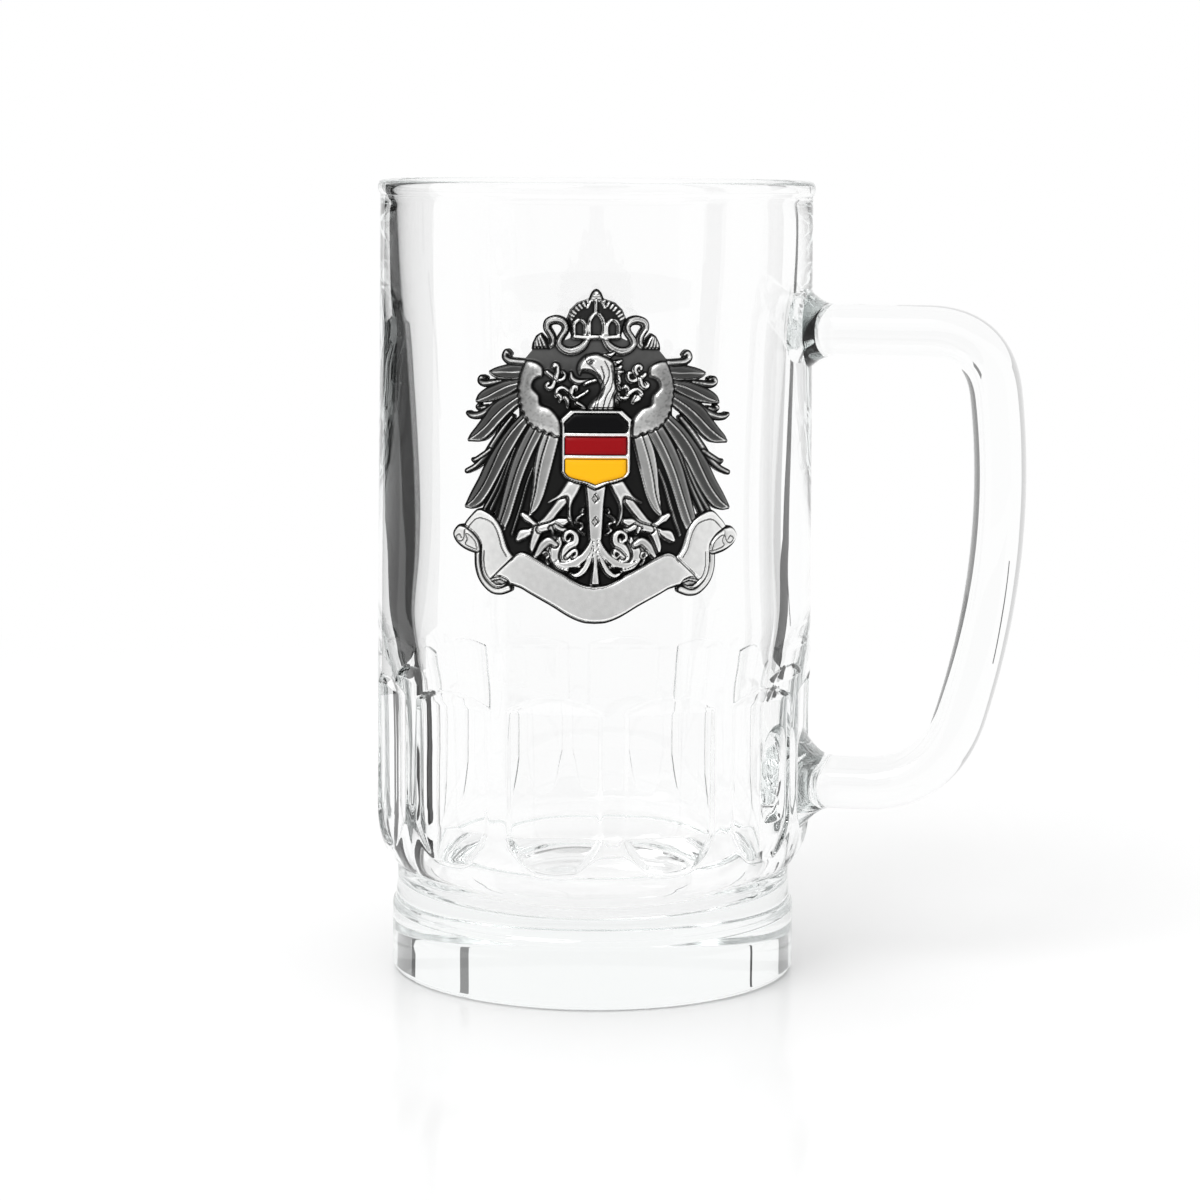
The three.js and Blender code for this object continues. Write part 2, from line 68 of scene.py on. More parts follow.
# Band of panels
PANEL_COUNT = 12
LAND_WIDTH = 4.2
PANEL_FOOT = 31.9
PANEL_FLAT_HEIGHT = 22.7
PANEL_ARCH_RISE = 2.7
PANEL_TOE_DROP = 4.3
PANEL_EDGE_ROUND = 0.3
PANEL_STEP = 0.45
PANEL_STEP_WIDTH = 1.0

# Handle
HANDLE_THICKNESS = 9.5
HANDLE_WIDTH = 13.5
FINGER_GAP = 29.8
UPPER_BAR_Z = MUG_HEIGHT - 27.0
LOWER_BAR_Z = 36.6
BOW_Z = UPPER_BAR_Z - 28.5
BOW_RADIUS = 141.0
UPPER_BEND = 11.3
LOWER_BEND = 13.8
UPPER_WELD_FLARE = 2.2
LOWER_WELD_FLARE = 3.0
WELD_LENGTH = 4.5
WELD_BURY = 2.2
OVAL_FULLNESS = 0.8
HANDLE_RINGS = 260
HANDLE_POINTS = 56

# Camera, as read from the photograph
CAMERA_AZIMUTH = 10.0
CAMERA_DISTANCE = 624.0
CAMERA_HEIGHT = 155.9
CAMERA_TILT = 7.88
CAMERA_ROLL = 0.356
CAMERA_ASIDE = 1.05
CAMERA_LENS = 100.4

# Studio cards, unseen by the camera: how far beyond the mug's axis, grey,
# and stations of height and both edges
CARDS_THROUGH_GLASS = {
    "card_left_upper": (4.0, 0.02, [(119.0, -45.6, -160.0), (260.0, -45.6, -160.0)]),
    "card_left_edge": (4.0, 0.003, [(50.0, -46.6, -48.0), (62.0, -44.5, -48.0), (84.0, -40.7, -48.0),
                                    (119.0, -40.5, -48.0)]),
    "card_left_side": (4.0, 0.06, [(50.0, -48.0, -160.0), (119.0, -48.0, -160.0)]),
    "card_left_low_edge": (4.0, 0.005, [(20.0, -42.0, -47.2), (50.0, -42.0, -46.6)]),
    "card_left_low_side": (4.0, 0.005, [(18.0, -56.0, -73.0), (34.0, -54.5, -70.0), (50.0, -60.0, -88.0)]),
    "card_right_low": (2.0, 0.03, [(50.0, 50.0, 58.5), (65.0, 49.4, 57.5), (75.0, 48.4, 55.2),
                                   (79.5, 47.3, 51.9), (92.5, 47.0, 50.5), (112.0, 47.5, 49.8)]),
    "card_right_far": (200.0, 0.03, [(68.0, 192.0, 217.0), (84.0, 197.0, 221.0), (98.0, 195.0, 214.0),
                                     (110.0, 195.0, 214.0)]),
    "card_grip_upper": (25.0, 0.22, [(62.0, 98.5, 170.0), (135.0, 98.5, 170.0)]),
    "card_grip_lower": (25.0, 0.13, [(25.0, 98.5, 170.0), (62.0, 98.5, 170.0)]),
    "card_grip_white": (25.0, 1.0, [(25.0, 84.0, 98.5), (135.0, 84.0, 98.5)]),
    "card_grip_edge": (4.0, 0.6, [(45.0, 56.0, 61.0), (55.0, 56.0, 64.1), (65.0, 56.0, 66.4),
                                  (75.0, 56.0, 68.0), (85.0, 56.0, 68.9), (95.0, 56.0, 69.0),
                                  (110.0, 56.0, 68.0)]),
    "card_grip_accent": (24.5, 0.1, [(58.0, 62.0, 63.2), (66.0, 64.8, 66.2), (76.0, 67.4, 68.4)]),
    "card_foot_left": (500.0, 0.3, [(200.0, -780.0, -1750.0), (480.0, -780.0, -1750.0)]),
    "card_foot_right": (500.0, 0.3, [(190.0, 640.0, 1450.0), (420.0, 640.0, 1450.0)]),
    "card_foot_bar_left": (500.0, 0.01, [(130.0, -374.0, -388.0), (185.0, -374.0, -388.0)]),
    "card_foot_bar_right": (500.0, 0.25, [(115.0, 224.0, 252.0), (160.0, 224.0, 252.0)]),
    "card_room": (-780.0, 0.25, [(150.0, -1500.0, 1500.0), (1200.0, -1500.0, 1500.0)]),
}
CARDS_IN_REFLECTIONS = {
    "card_shine_left": (4.0, 0.04, [(50.0, -46.0, -400.0), (150.0, -46.0, -400.0)]),
    "card_front": (-760.0, 0.72, [(0.0, -700.0, 700.0), (330.0, -700.0, 700.0)]),
    "card_front_low": (-210.0, 0.5, [(0.0, -200.0, 200.0), (52.0, -200.0, 200.0)]),
}

# Medallion, millimetres: levels are above the plate's back
BADGE_AZIMUTH = -80.0
BADGE_Z = MUG_HEIGHT - 47.5
PLATE_BACK = 0.9
PLATE_LEVEL = 1.0
PLATE_MARGIN = 0.24
FEATHER_LEVEL = 1.5
FIGURE_LEVEL = 2.05
SCROLL_LEVEL = 1.95
FOLD_LEVEL = 1.65
SHIELD_LEVEL = 2.7
CELL_DEPTH = 0.8
RELIEF_STEP = 0.15
SHOULDER_PITS = 0.06
# Painted shade on each shoulder, darker outward: where it starts, where it is full, and its share
SHOULDER_SHADE = (8.5, 13.5, 0.3)
LEFT_WING_INSET = 0.06
LEFT_WING_START = 9.0

# The emblem's right half is drawn in these units, x across and y down, as it looks from the front
DRAWN_PER_MM = 50.9
DRAWN_CENTRE = 97.0
DRAWN_LEAN = 0.0065
DRAWN_MIDDLE = 1550.0
FACE_RADIUS = 42.4
SIDE_DROP = 0.105

FEATHERS = [
    (0.30, [(735, 735), (850, 726), (950, 742), (1020, 762), (1068, 784)],
     [(745, 790), (870, 790), (980, 790), (1060, 788)],
     [(765, 848), (880, 852), (980, 842), (1040, 818), (1068, 792)]),
    (0.30, [(780, 860), (900, 868), (1010, 902), (1110, 945), (1170, 990), (1195, 1038)],
     [(780, 888), (890, 915), (990, 958), (1090, 1008), (1190, 1042)],
     [(785, 935), (880, 988), (980, 1028), (1090, 1048), (1194, 1046)]),
    (0.32, [(780, 962), (900, 1005), (1030, 1085), (1115, 1185), (1190, 1280), (1240, 1340), (1268, 1388)],
     [(770, 1000), (900, 1085), (1010, 1180), (1100, 1275), (1190, 1350), (1262, 1390)],
     [(758, 1060), (870, 1150), (975, 1255), (1060, 1345), (1140, 1396), (1266, 1396)]),
    (0.36, [(752, 1165), (880, 1290), (1000, 1450), (1090, 1595), (1160, 1740), (1230, 1865), (1288, 1985)],
     [(725, 1195), (850, 1325), (950, 1470), (1030, 1640), (1110, 1800), (1200, 1925), (1278, 1990)],
     [(688, 1240), (790, 1395), (890, 1565), (980, 1735), (1060, 1872), (1135, 1965), (1215, 2002),
      (1286, 1994)]),
    (0.48, [(680, 1265), (770, 1420), (850, 1605), (905, 1790), (955, 1990), (985, 2110)],
     [(620, 1300), (710, 1475), (790, 1665), (855, 1870), (925, 2090), (960, 2170)],
     [(555, 1335), (650, 1515), (730, 1705), (790, 1885), (850, 2080), (905, 2205)]),
    (0.70, [(552, 1335), (605, 1475), (637, 1645), (648, 1800), (668, 1960), (684, 2085)],
     [(495, 1350), (553, 1545), (592, 1725), (618, 1890), (680, 2080)],
     [(410, 1375), (450, 1545), (500, 1745), (545, 1905), (600, 2015), (676, 2090)]),
]
SLIM_FEATHERS = [
    (0.16, [(820, 1470), (890, 1650), (955, 1830), (1045, 2025)], [0.4, 0.8, 0.9, 0.8]),
    (0.16, [(880, 1560), (960, 1760), (1030, 1900), (1100, 2015)], [0.5, 0.8, 0.9, 0.7]),
    (0.15, [(650, 1650), (705, 1800), (760, 2000), (840, 2245)], [0.4, 0.7, 0.8, 0.7]),
    (0.34, [(850, 1190), (950, 1315), (1040, 1445), (1110, 1545), (1190, 1625), (1282, 1672)],
     [0.5, 0.9, 1.0, 0.9, 0.7, 0.5]),
    (0.30, [(1050, 1480), (1130, 1535), (1200, 1575), (1222, 1570)], [0.6, 0.7, 0.6, 0.4]),
    (0.38, [(930, 1015), (1010, 1078), (1090, 1138), (1170, 1172), (1240, 1172), (1276, 1152)],
     [0.4, 0.9, 1.1, 1.0, 0.8, 0.5]),
    (0.36, [(1105, 1098), (1150, 1112), (1182, 1100), (1172, 1082)], [0.5, 0.6, 0.5, 0.4]),
    (0.44, [(960, 868), (1050, 884), (1120, 888), (1160, 866), (1150, 836), (1116, 842)],
     [0.5, 0.9, 0.9, 0.8, 0.6, 0.4]),
    (0.60, [(735, 706), (820, 702), (885, 690), (925, 655), (912, 612), (884, 628)],
     [0.9, 1.0, 1.0, 0.9, 0.7, 0.4]),
]
SHOULDER = [(556, 790), (568, 745), (620, 706), (690, 690), (722, 708), (748, 770), (770, 835),
            (778, 900), (790, 940), (776, 966), (786, 1004), (768, 1030), (776, 1072), (756, 1092),
            (762, 1136), (736, 1156), (732, 1200), (704, 1212), (696, 1254), (664, 1262), (646, 1298),
            (612, 1296), (588, 1328), (552, 1322), (522, 1352), (490, 1342), (452, 1374), (402, 1370),
            (386, 1330), (400, 1240), (440, 1172), (500, 1112), (578, 1078), (592, 1000), (650, 930),
            (640, 872), (602, 846), (566, 836)]

FIELD = [(97, 480), (300, 480), (430, 540), (655, 590), (740, 690), (780, 860), (770, 1300), (900, 1700),
         (980, 2060), (880, 2260), (800, 2460), (400, 2640), (80, 2760)]

CROWN_DOME = [(97, 140), (170, 160), (258, 188), (318, 246), (352, 330), (322, 420), (298, 496), (97, 496)]
FINIAL = [(97, 182), (158, 180), (150, 144), (134, 104), (116, 80), (97, 72)]
ARCH_BEADS = [(150, 168), (235, 210), (296, 266), (338, 332)]
ARCH_BEAD_COUNT = 7
ARCH_RIM = [(160, 150), (255, 182), (318, 242), (352, 326)]
CENTRE_WINDOW = [(36, 478), (32, 400), (38, 342), (62, 298), (97, 274), (132, 298), (156, 342),
                 (162, 400), (158, 478)]
SIDE_WINDOW = [(190, 478), (188, 420), (192, 375), (212, 345), (240, 332), (270, 345), (289, 380),
               (291, 430), (285, 478)]
CROWN_LINES = [
    ([(97, 158), (97, 276)], 0.56),
    ([(150, 172), (172, 222)], 0.44),
    ([(84, 484), (180, 488), (290, 484)], 0.75),
]
RIBBON = [(165, 500), (205, 560), (262, 600), (330, 612), (392, 588), (426, 542), (408, 488), (376, 440),
          (366, 390), (400, 346), (460, 332), (518, 352), (532, 402), (505, 448), (482, 496), (484, 548),
          (512, 576)]
RIBBON_WIDTHS = [0.8, 1.2, 1.4, 1.3, 1.1, 1.0, 0.9, 0.9, 1.0, 1.1, 1.2, 1.1, 0.9, 0.9, 0.9, 0.8, 0.5]
TASSEL = [(508, 582), (540, 505), (588, 456), (620, 478), (650, 540), (656, 584)]
TASSEL_STRANDS = [
    [(538, 574), (560, 520), (586, 468)],
    [(572, 576), (586, 530), (600, 478)],
    [(604, 576), (610, 540), (616, 492)],
    [(634, 576), (634, 550), (632, 516)],
]

HEAD = [(70, 625), (0, 645), (-55, 700), (-75, 760), (-66, 805), (-48, 824), (-36, 798), (30, 800),
        (88, 832), (112, 872), (130, 905), (134, 945), (110, 1000), (60, 1045), (26, 1090), (18, 1150),
        (232, 1150), (262, 1085), (256, 1015), (282, 960), (268, 890), (262, 800), (250, 715), (205, 668),
        (140, 640), (110, 626)]
BEAK_PIECES = [
    (0.72, [(-132, 805), (-120, 852), (-72, 880), (0, 876), (40, 862)], [0.6, 1.0, 1.0, 0.7, 0.4]),
    (0.80, [(-8, 902), (40, 880), (92, 866)], [0.6, 0.7, 0.7]),
]
CREST = [
    [(151, 661), (210, 647), (254, 622)], [(205, 714), (270, 712), (315, 692)], [(230, 768), (289, 766),
     (312, 738)],
    [(270, 800), (330, 788)], [(280, 836), (302, 885)], [(266, 905), (306, 944)], [(256, 963), (294, 1002)],
    [(250, 1040), (284, 1080)],
]
HEAD_GROOVES = [
    [(170, 690), (205, 770), (200, 850), (160, 930), (110, 1010), (70, 1130)],
    [(140, 740), (165, 830), (140, 910)],
    [(225, 730), (240, 830), (225, 930), (180, 1010), (150, 1130)],
    [(250, 850), (262, 930), (235, 1000), (205, 1080), (190, 1140)],
    [(150, 980), (110, 1060), (105, 1140)],
    [(0, 655), (14, 704), (62, 748), (108, 800), (126, 850)],
    [(80, 692), (46, 680), (18, 694)],
]
EYE = (50, 707)
SPRIGS_RIGHT = [
    [(470, 835), (440, 795), (436, 758), (462, 734), (490, 748), (482, 772)],
    [(470, 842), (430, 872), (390, 868), (370, 835), (380, 800), (402, 802)],
    [(478, 845), (508, 832), (526, 806)],
    [(478, 852), (496, 912), (530, 930), (550, 905), (534, 884)],
    [(278, 998), (330, 1030), (372, 1002), (376, 950), (352, 916), (332, 936)],
    [(376, 985), (428, 950), (470, 952), (494, 985), (476, 1012)],
    [(424, 1056), (438, 1012), (452, 1000)],
    [(446, 1044), (472, 1026), (460, 1008)],
]
SPRIGS_LEFT = [
    [(-345, 795), (-300, 830), (-250, 868), (-200, 858), (-186, 815), (-206, 792)],
    [(-258, 842), (-248, 790), (-250, 742), (-275, 726), (-286, 752)],
    [(-275, 880), (-300, 930), (-330, 940), (-350, 915), (-330, 890)],
    [(-258, 1004), (-250, 952), (-200, 936), (-150, 970), (-100, 1028), (-40, 1002), (18, 962)],
    [(-128, 986), (-112, 932), (-82, 920), (-78, 950)],
    [(-238, 1000), (-216, 1022), (-230, 1052)],
    [(-180, 1022), (-160, 1050), (-158, 1100)],
    [(-80, 1070), (-30, 1100), (10, 1134)],
]

THIGH = [(198, 1780), (311, 1740), (380, 1829), (429, 1898), (504, 1948), (490, 1962), (429, 1932),
         (370, 1916), (334, 1924), (330, 2047), (318, 2110), (271, 2172), (290, 2077), (294, 1997),
         (274, 1938), (236, 1869)]
LEG_PIECES = [
    (0.76, [(372, 1936), (448, 2037), (517, 2122), (584, 2186)], [1.7, 1.7, 1.6, 1.9]),
    (0.80, [(590, 2176), (645, 2128), (688, 2096), (722, 2066)], [1.2, 1.1, 1.5, 1.1]),
    (0.80, [(596, 2192), (665, 2221), (724, 2244), (764, 2288)], [1.2, 1.3, 2.0, 1.1]),
    (0.78, [(586, 2201), (612, 2269), (635, 2344), (640, 2392)], [1.8, 1.5, 1.3, 0.7]),
    (0.80, [(560, 2192), (468, 2168), (399, 2140), (340, 2122)], [1.6, 1.6, 2.0, 1.2]),
    (0.72, [(430, 2170), (380, 2198), (346, 2194)], [1.2, 1.1, 0.7]),
    (0.72, [(470, 2180), (452, 2226)], [0.9, 0.6]),
    (0.80, [(192, 2012), (206, 2040), (188, 2050)], [0.5, 0.54, 0.5]),
    (0.80, [(190, 2056), (240, 2092), (254, 2130), (206, 2142), (198, 2180), (224, 2200), (180, 2238)],
     [0.5, 0.54, 0.5]),
]
LEAF = [(606, 2364), (567, 2290), (490, 2250), (412, 2258), (382, 2290), (399, 2364), (389, 2443),
        (340, 2522), (439, 2522), (508, 2463), (590, 2410)]
TAIL = [(84, 1790), (182, 1790), (162, 1960), (152, 2140), (142, 2290), (130, 2360), (112, 2440), (108, 2520),
        (116, 2600), (126, 2700), (80, 2700)]
TAIL_FLARES = [
    ([(106, 2350), (118, 2410), (144, 2490), (192, 2574), (250, 2612), (300, 2590)],
     [0.7, 0.8, 1.0, 1.1, 0.9, 0.5]),
    ([(116, 2300), (140, 2370), (190, 2444), (260, 2496), (340, 2516), (430, 2492)],
     [0.7, 1.1, 1.4, 1.5, 1.3, 0.7]),
]
TAIL_DIAMONDS = [(84, 1914), (83, 2120)]
ACANTHUS = [
    (0.84, [(225, 2525), (290, 2508), (345, 2440), (325, 2360), (262, 2318), (256, 2250), (300, 2216),
            (346, 2240), (346, 2290), (312, 2300), (300, 2272)],
     [0.9, 1.5, 1.9, 1.7, 1.4, 1.2, 1.0, 0.9, 0.8, 0.6, 0.4]),
    (0.82, [(330, 2440), (290, 2400), (252, 2380), (244, 2420), (270, 2446), (292, 2432)],
     [0.9, 0.9, 0.8, 0.7, 0.5, 0.4]),
    (0.8, [(330, 2560), (400, 2520), (445, 2440), (430, 2360), (400, 2310), (395, 2270)],
     [1.0, 1.5, 1.9, 1.8, 1.3, 0.7]),
    (0.7, [(430, 2330), (490, 2300), (545, 2340), (580, 2400), (612, 2450)], [1.2, 1.6, 1.6, 1.3, 0.8]),
    (0.86, [(492, 2505), (512, 2460), (486, 2430), (500, 2400), (530, 2400), (540, 2426), (518, 2440)],
     [0.5, 0.5, 0.45, 0.45, 0.45, 0.4, 0.4]),
]

SCROLL_TOP = [(80, 2706), (180, 2690), (270, 2650), (350, 2600), (430, 2556), (520, 2504), (600, 2456),
              (660, 2424), (700, 2406), (742, 2402), (784, 2422), (816, 2462)]
SCROLL_FOOT = [(838, 2690), (740, 2718), (660, 2764), (560, 2820), (450, 2882), (300, 2974), (180, 3022),
               (80, 3032)]
SCROLL_END = [(1000, 2644), (960, 2630), (916, 2624), (866, 2646), (850, 2664)]
FOLD = [(800, 2446), (852, 2375), (884, 2280), (915, 2185), (968, 2105), (1040, 2050), (1122, 2022),
        (1190, 2078), (1250, 2172), (1164, 2235), (1105, 2320), (1098, 2400), (1096, 2510), (1070, 2620),
        (1000, 2704), (940, 2728), (880, 2700), (824, 2600)]
FOLD_RIM = [(1130, 2420), (1122, 2540), (1082, 2650), (1000, 2736), (920, 2752), (850, 2730)]
CURL = [(1240, 2176), (1300, 2166), (1345, 2215), (1350, 2260), (1315, 2320), (1240, 2375), (1140, 2408),
        (1102, 2385), (1110, 2310), (1165, 2235)]
CURL_GROOVES = [
    [(1122, 2376), (1142, 2304), (1196, 2248), (1226, 2242), (1212, 2288), (1226, 2332), (1166, 2366),
     (1126, 2380)],
    [(1262, 2276), (1284, 2244), (1312, 2266), (1290, 2304), (1258, 2300), (1240, 2260), (1236, 2200)],
]
FOLD_GROOVES = [
    [(860, 2440), (904, 2360), (928, 2270), (958, 2190), (1010, 2126), (1124, 2098), (1216, 2186)],
    [(1062, 2390), (1062, 2500), (1038, 2600), (984, 2668)],
]
SCROLL_LENS = [(862, 2672), (916, 2646), (990, 2664), (950, 2694), (900, 2696)]

# Shield, millimetres about the badge's middle
SHIELD_HALF_WIDTH = 5.72
SHIELD_EAR = 0.16
SHIELD_TOP = 8.3
SHIELD_CORNER = 1.6
SHIELD_SIDE_FOOT = -2.6
SHIELD_TIP = -5.6
SHIELD_FOOT = [(0, 0), (0.3, 0.26), (0.6, 0.43), (0.88, 0.66), (1, 1)]
SHIELD_WALL = 0.68
CELL_WALL = 0.75
CELL_EDGES = (3.95, 0.1)
ENAMEL_GAP = 0.03
ENAMELS = [
    ("enamel_black", (0.002, 0.002, 0.0025)),
    ("enamel_red", (0.28, 0.003, 0.006)),
    ("enamel_gold", (0.90, 0.45, 0.008)),
]

# Pewter: grey for each tone, and lumps per metre of its wear and grain
PEWTER_TONES = [(0.0, 0.008), (0.15, 0.02), (0.35, 0.075), (0.5, 0.16), (0.7, 0.42), (0.85, 0.72),
                (1.0, 0.97)]
PEWTER_MOTTLE = 900.0
PEWTER_GRAIN = 5200.0

# Share of white that the floor adds where it is seen through glass
FLOOR_GLOW = 0.85


def mesh_object(name, points_mm, faces):
    """A mesh object from points in millimetres."""
    mesh = bpy.data.meshes.new(name)
    mesh.from_pydata((np.asarray(points_mm) * MM).tolist(), [], faces)
    mesh.update()
    mesh.shade_smooth()
    piece = bpy.data.objects.new(name, mesh)
    bpy.context.scene.collection.objects.link(piece)
    return piece


def curve_points(controls, step):
    """Points along a Bezier curve of two to four controls, about a step apart, without its first point."""
    controls = np.asarray(controls, float)
    length = np.linalg.norm(np.diff(controls, axis=0), axis=1).sum()
    count = max(1, int(math.ceil(length / step)))
    share = np.linspace(0.0, 1.0, count + 1)[1:, None]
    level = [np.repeat(c[None], count, axis=0) for c in controls]
    while len(level) > 1:
        level = [a + (b - a) * share for a, b in zip(level, level[1:])]
    return level[0]


def barrel_radius(z):
    share = np.minimum((MUG_HEIGHT - z) / (MUG_HEIGHT - PANEL_FOOT), 1.0)
    return BARREL_TOP_RADIUS + (BARREL_LOW_RADIUS - BARREL_TOP_RADIUS) * share


def glass_profile():
    """Radius and height along the glass, underside to floor, and the count of outside points."""
    neck = FOOT_RADIUS - LEDGE_STEP
    waist = neck - NECK_HOLLOW
    waist_z = FOOT_HEIGHT + NECK_HEIGHT
    shoulder_z = waist_z + SHOULDER_HEIGHT
    low, top = BARREL_LOW_RADIUS, BARREL_TOP_RADIUS
    bead = top + RIM_BEAD
    bead_z = MUG_HEIGHT - RIM_BEAD_HEIGHT
    lip = (RIM_WALL + RIM_BEAD) / 2
    mouth = top - RIM_WALL
    well = WELL_RADIUS
    well_z = FLOOR_THICKNESS + FLOOR_CORNER
    fine, coarse = RING_STEP / 2, 4 * RING_STEP
    outside = [
        ([(0, 0), (FOOT_RADIUS - FOOT_EDGE, 0)], 2 * coarse),
        ([(FOOT_RADIUS - FOOT_EDGE, 0), (FOOT_RADIUS, 0), (FOOT_RADIUS, FOOT_EDGE)], fine),
        ([(FOOT_RADIUS, FOOT_EDGE), (FOOT_RADIUS, FOOT_HEIGHT - LEDGE_ROUND)], coarse),
        ([(FOOT_RADIUS, FOOT_HEIGHT - LEDGE_ROUND), (FOOT_RADIUS, FOOT_HEIGHT),
          (neck, FOOT_HEIGHT + LEDGE_ROUND / 2)], fine),
        ([(neck, FOOT_HEIGHT + LEDGE_ROUND / 2), (neck - 2 * NECK_HOLLOW, FOOT_HEIGHT + NECK_HEIGHT / 2),
          (waist, waist_z)], RING_STEP),
        ([(waist, waist_z), (neck + (low - neck) / 2, waist_z + SHOULDER_HEIGHT / 8),
          (low, waist_z + SHOULDER_HEIGHT / 2), (low, shoulder_z)], RING_STEP),
        ([(low, shoulder_z), (low, PANEL_FOOT)], RING_STEP),
        ([(low, PANEL_FOOT), (barrel_radius(60.0), 60.0)], RING_STEP),
        ([(barrel_radius(60.0), 60.0), (top, bead_z)], coarse),
        ([(top, bead_z), (bead, bead_z + RIM_BEAD_HEIGHT / 4), (bead, bead_z + RIM_BEAD_HEIGHT / 2)], fine),
        ([(bead, bead_z + RIM_BEAD_HEIGHT / 2), (bead, MUG_HEIGHT), (bead - lip, MUG_HEIGHT)], fine),
    ]
    lip_run = curve_points([(bead - lip, MUG_HEIGHT), (mouth, MUG_HEIGHT), (mouth, MUG_HEIGHT - lip)], fine)
    wall_run = smooth_line(np.array([(mouth, MUG_HEIGHT - lip), *INSIDE, (well, well_z)]), 12)[1:]
    floor = [
        ([(well, well_z), (well, FLOOR_THICKNESS), (well - FLOOR_CORNER, FLOOR_THICKNESS)], RING_STEP),
        ([(well - FLOOR_CORNER, FLOOR_THICKNESS), (0, FLOOR_THICKNESS)], 2 * coarse),
    ]
    runs = [curve_points(controls, step) for controls, step in outside]
    outside_count = 1 + sum(len(run) for run in runs)
    runs += [lip_run, wall_run] + [curve_points(controls, step) for controls, step in floor]
    return np.vstack([[(0.0, 0.0)]] + runs), outside_count


def panel_limit(turn, z):
    """How far out the glass may stand in the band of panels, each with a small step round it."""
    sector = 2 * math.pi / PANEL_COUNT
    half_width = (sector * BARREL_LOW_RADIUS - LAND_WIDTH) / 2
    flat = math.sqrt(BARREL_LOW_RADIUS ** 2 - half_width ** 2)
    depth = BARREL_LOW_RADIUS - flat
    flat_top = PANEL_FOOT + PANEL_FLAT_HEIGHT
    above = np.maximum(z - flat_top, 0.0) * depth / PANEL_ARCH_RISE
    below = np.maximum(PANEL_FOOT - z, 0.0) * depth / 2 / PANEL_TOE_DROP
    aside = (turn + sector / 2) % sector - sector / 2
    limit = (flat + above + below) / np.cos(aside)
    sunk = ease((BARREL_LOW_RADIUS - limit) / (PANEL_STEP_WIDTH * depth / half_width))
    return limit - PANEL_STEP * sunk


def smooth_min(a, b, rounding):
    share = np.clip(0.5 + 0.5 * (b - a) / rounding, 0.0, 1.0)
    return b + (a - b) * share - rounding * share * (1.0 - share)


def turned_body():
    """The glass body turned from its profile, with the panels pressed into its outside."""
    profile, outside_count = glass_profile()
    turns = np.arange(TURN_STEPS) * 2 * math.pi / TURN_STEPS
    rings = profile[1:-1]
    radius = np.repeat(rings[:, :1], TURN_STEPS, axis=1)
    height = np.repeat(rings[:, 1:], TURN_STEPS, axis=1)
    pressed = smooth_min(radius, panel_limit(turns[None, :], height), PANEL_EDGE_ROUND)
    outer = np.arange(len(rings)) < outside_count - 1
    radius = np.where(outer[:, None], pressed, radius)
    points = np.stack([radius * np.cos(turns), radius * np.sin(turns), height], axis=-1).reshape(-1, 3)
    first = len(points)
    points = np.vstack([points, [(0, 0, profile[0, 1]), (0, 0, profile[-1, 1])]])
    faces = ring_faces(len(rings), TURN_STEPS)
    last = (len(rings) - 1) * TURN_STEPS
    for i in range(TURN_STEPS):
        after = (i + 1) % TURN_STEPS
        faces.append((first, after, i))
        faces.append((first + 1, last + i, last + after))
    return mesh_object("mug_glass", points, faces)


def ring_faces(rings, count):
    """Quads that join each ring of points to the next."""
    faces = []
    for r in range(rings - 1):
        for i in range(count):
            after = (i + 1) % count
            faces.append((r * count + i, r * count + after, (r + 1) * count + after, (r + 1) * count + i))
    return faces


def handle_line():
    """Centre line of the handle in the XZ plane: bar, bend, bowed grip, bend, bar."""
    reach = BARREL_LOW_RADIUS + FINGER_GAP + HANDLE_THICKNESS / 2
    grip_top = UPPER_BAR_Z - UPPER_BEND
    grip_low = LOWER_BAR_Z + LOWER_BEND

    def bow(z):
        return reach - (z - BOW_Z) ** 2 / (2 * BOW_RADIUS)

    def corner(start, z):
        return bow(start) - (start - BOW_Z) / BOW_RADIUS * (z - start)

    upper, lower = corner(grip_top, UPPER_BAR_Z), corner(grip_low, LOWER_BAR_Z)
    grip = np.linspace(grip_top, grip_low, 80)[1:]
    step = 0.5
    upper_weld = (barrel_radius(UPPER_BAR_Z) - WELD_BURY, UPPER_BAR_Z)
    lower_weld = (barrel_radius(LOWER_BAR_Z) - WELD_BURY, LOWER_BAR_Z)
    upper_bend, lower_bend = (upper - UPPER_BEND, UPPER_BAR_Z), (lower - LOWER_BEND, LOWER_BAR_Z)
    return np.vstack([
        [upper_weld],
        curve_points([upper_weld, upper_bend], step),
        curve_points([upper_bend, (upper, UPPER_BAR_Z), (bow(grip_top), grip_top)], step),
        np.stack([bow(grip), grip], axis=1),
        curve_points([(bow(grip_low), grip_low), (lower, LOWER_BAR_Z), lower_bend], step),
        curve_points([lower_bend, lower_weld], step),
    ])


def full_oval(value):
    return np.sign(value) * np.abs(value) ** OVAL_FULLNESS


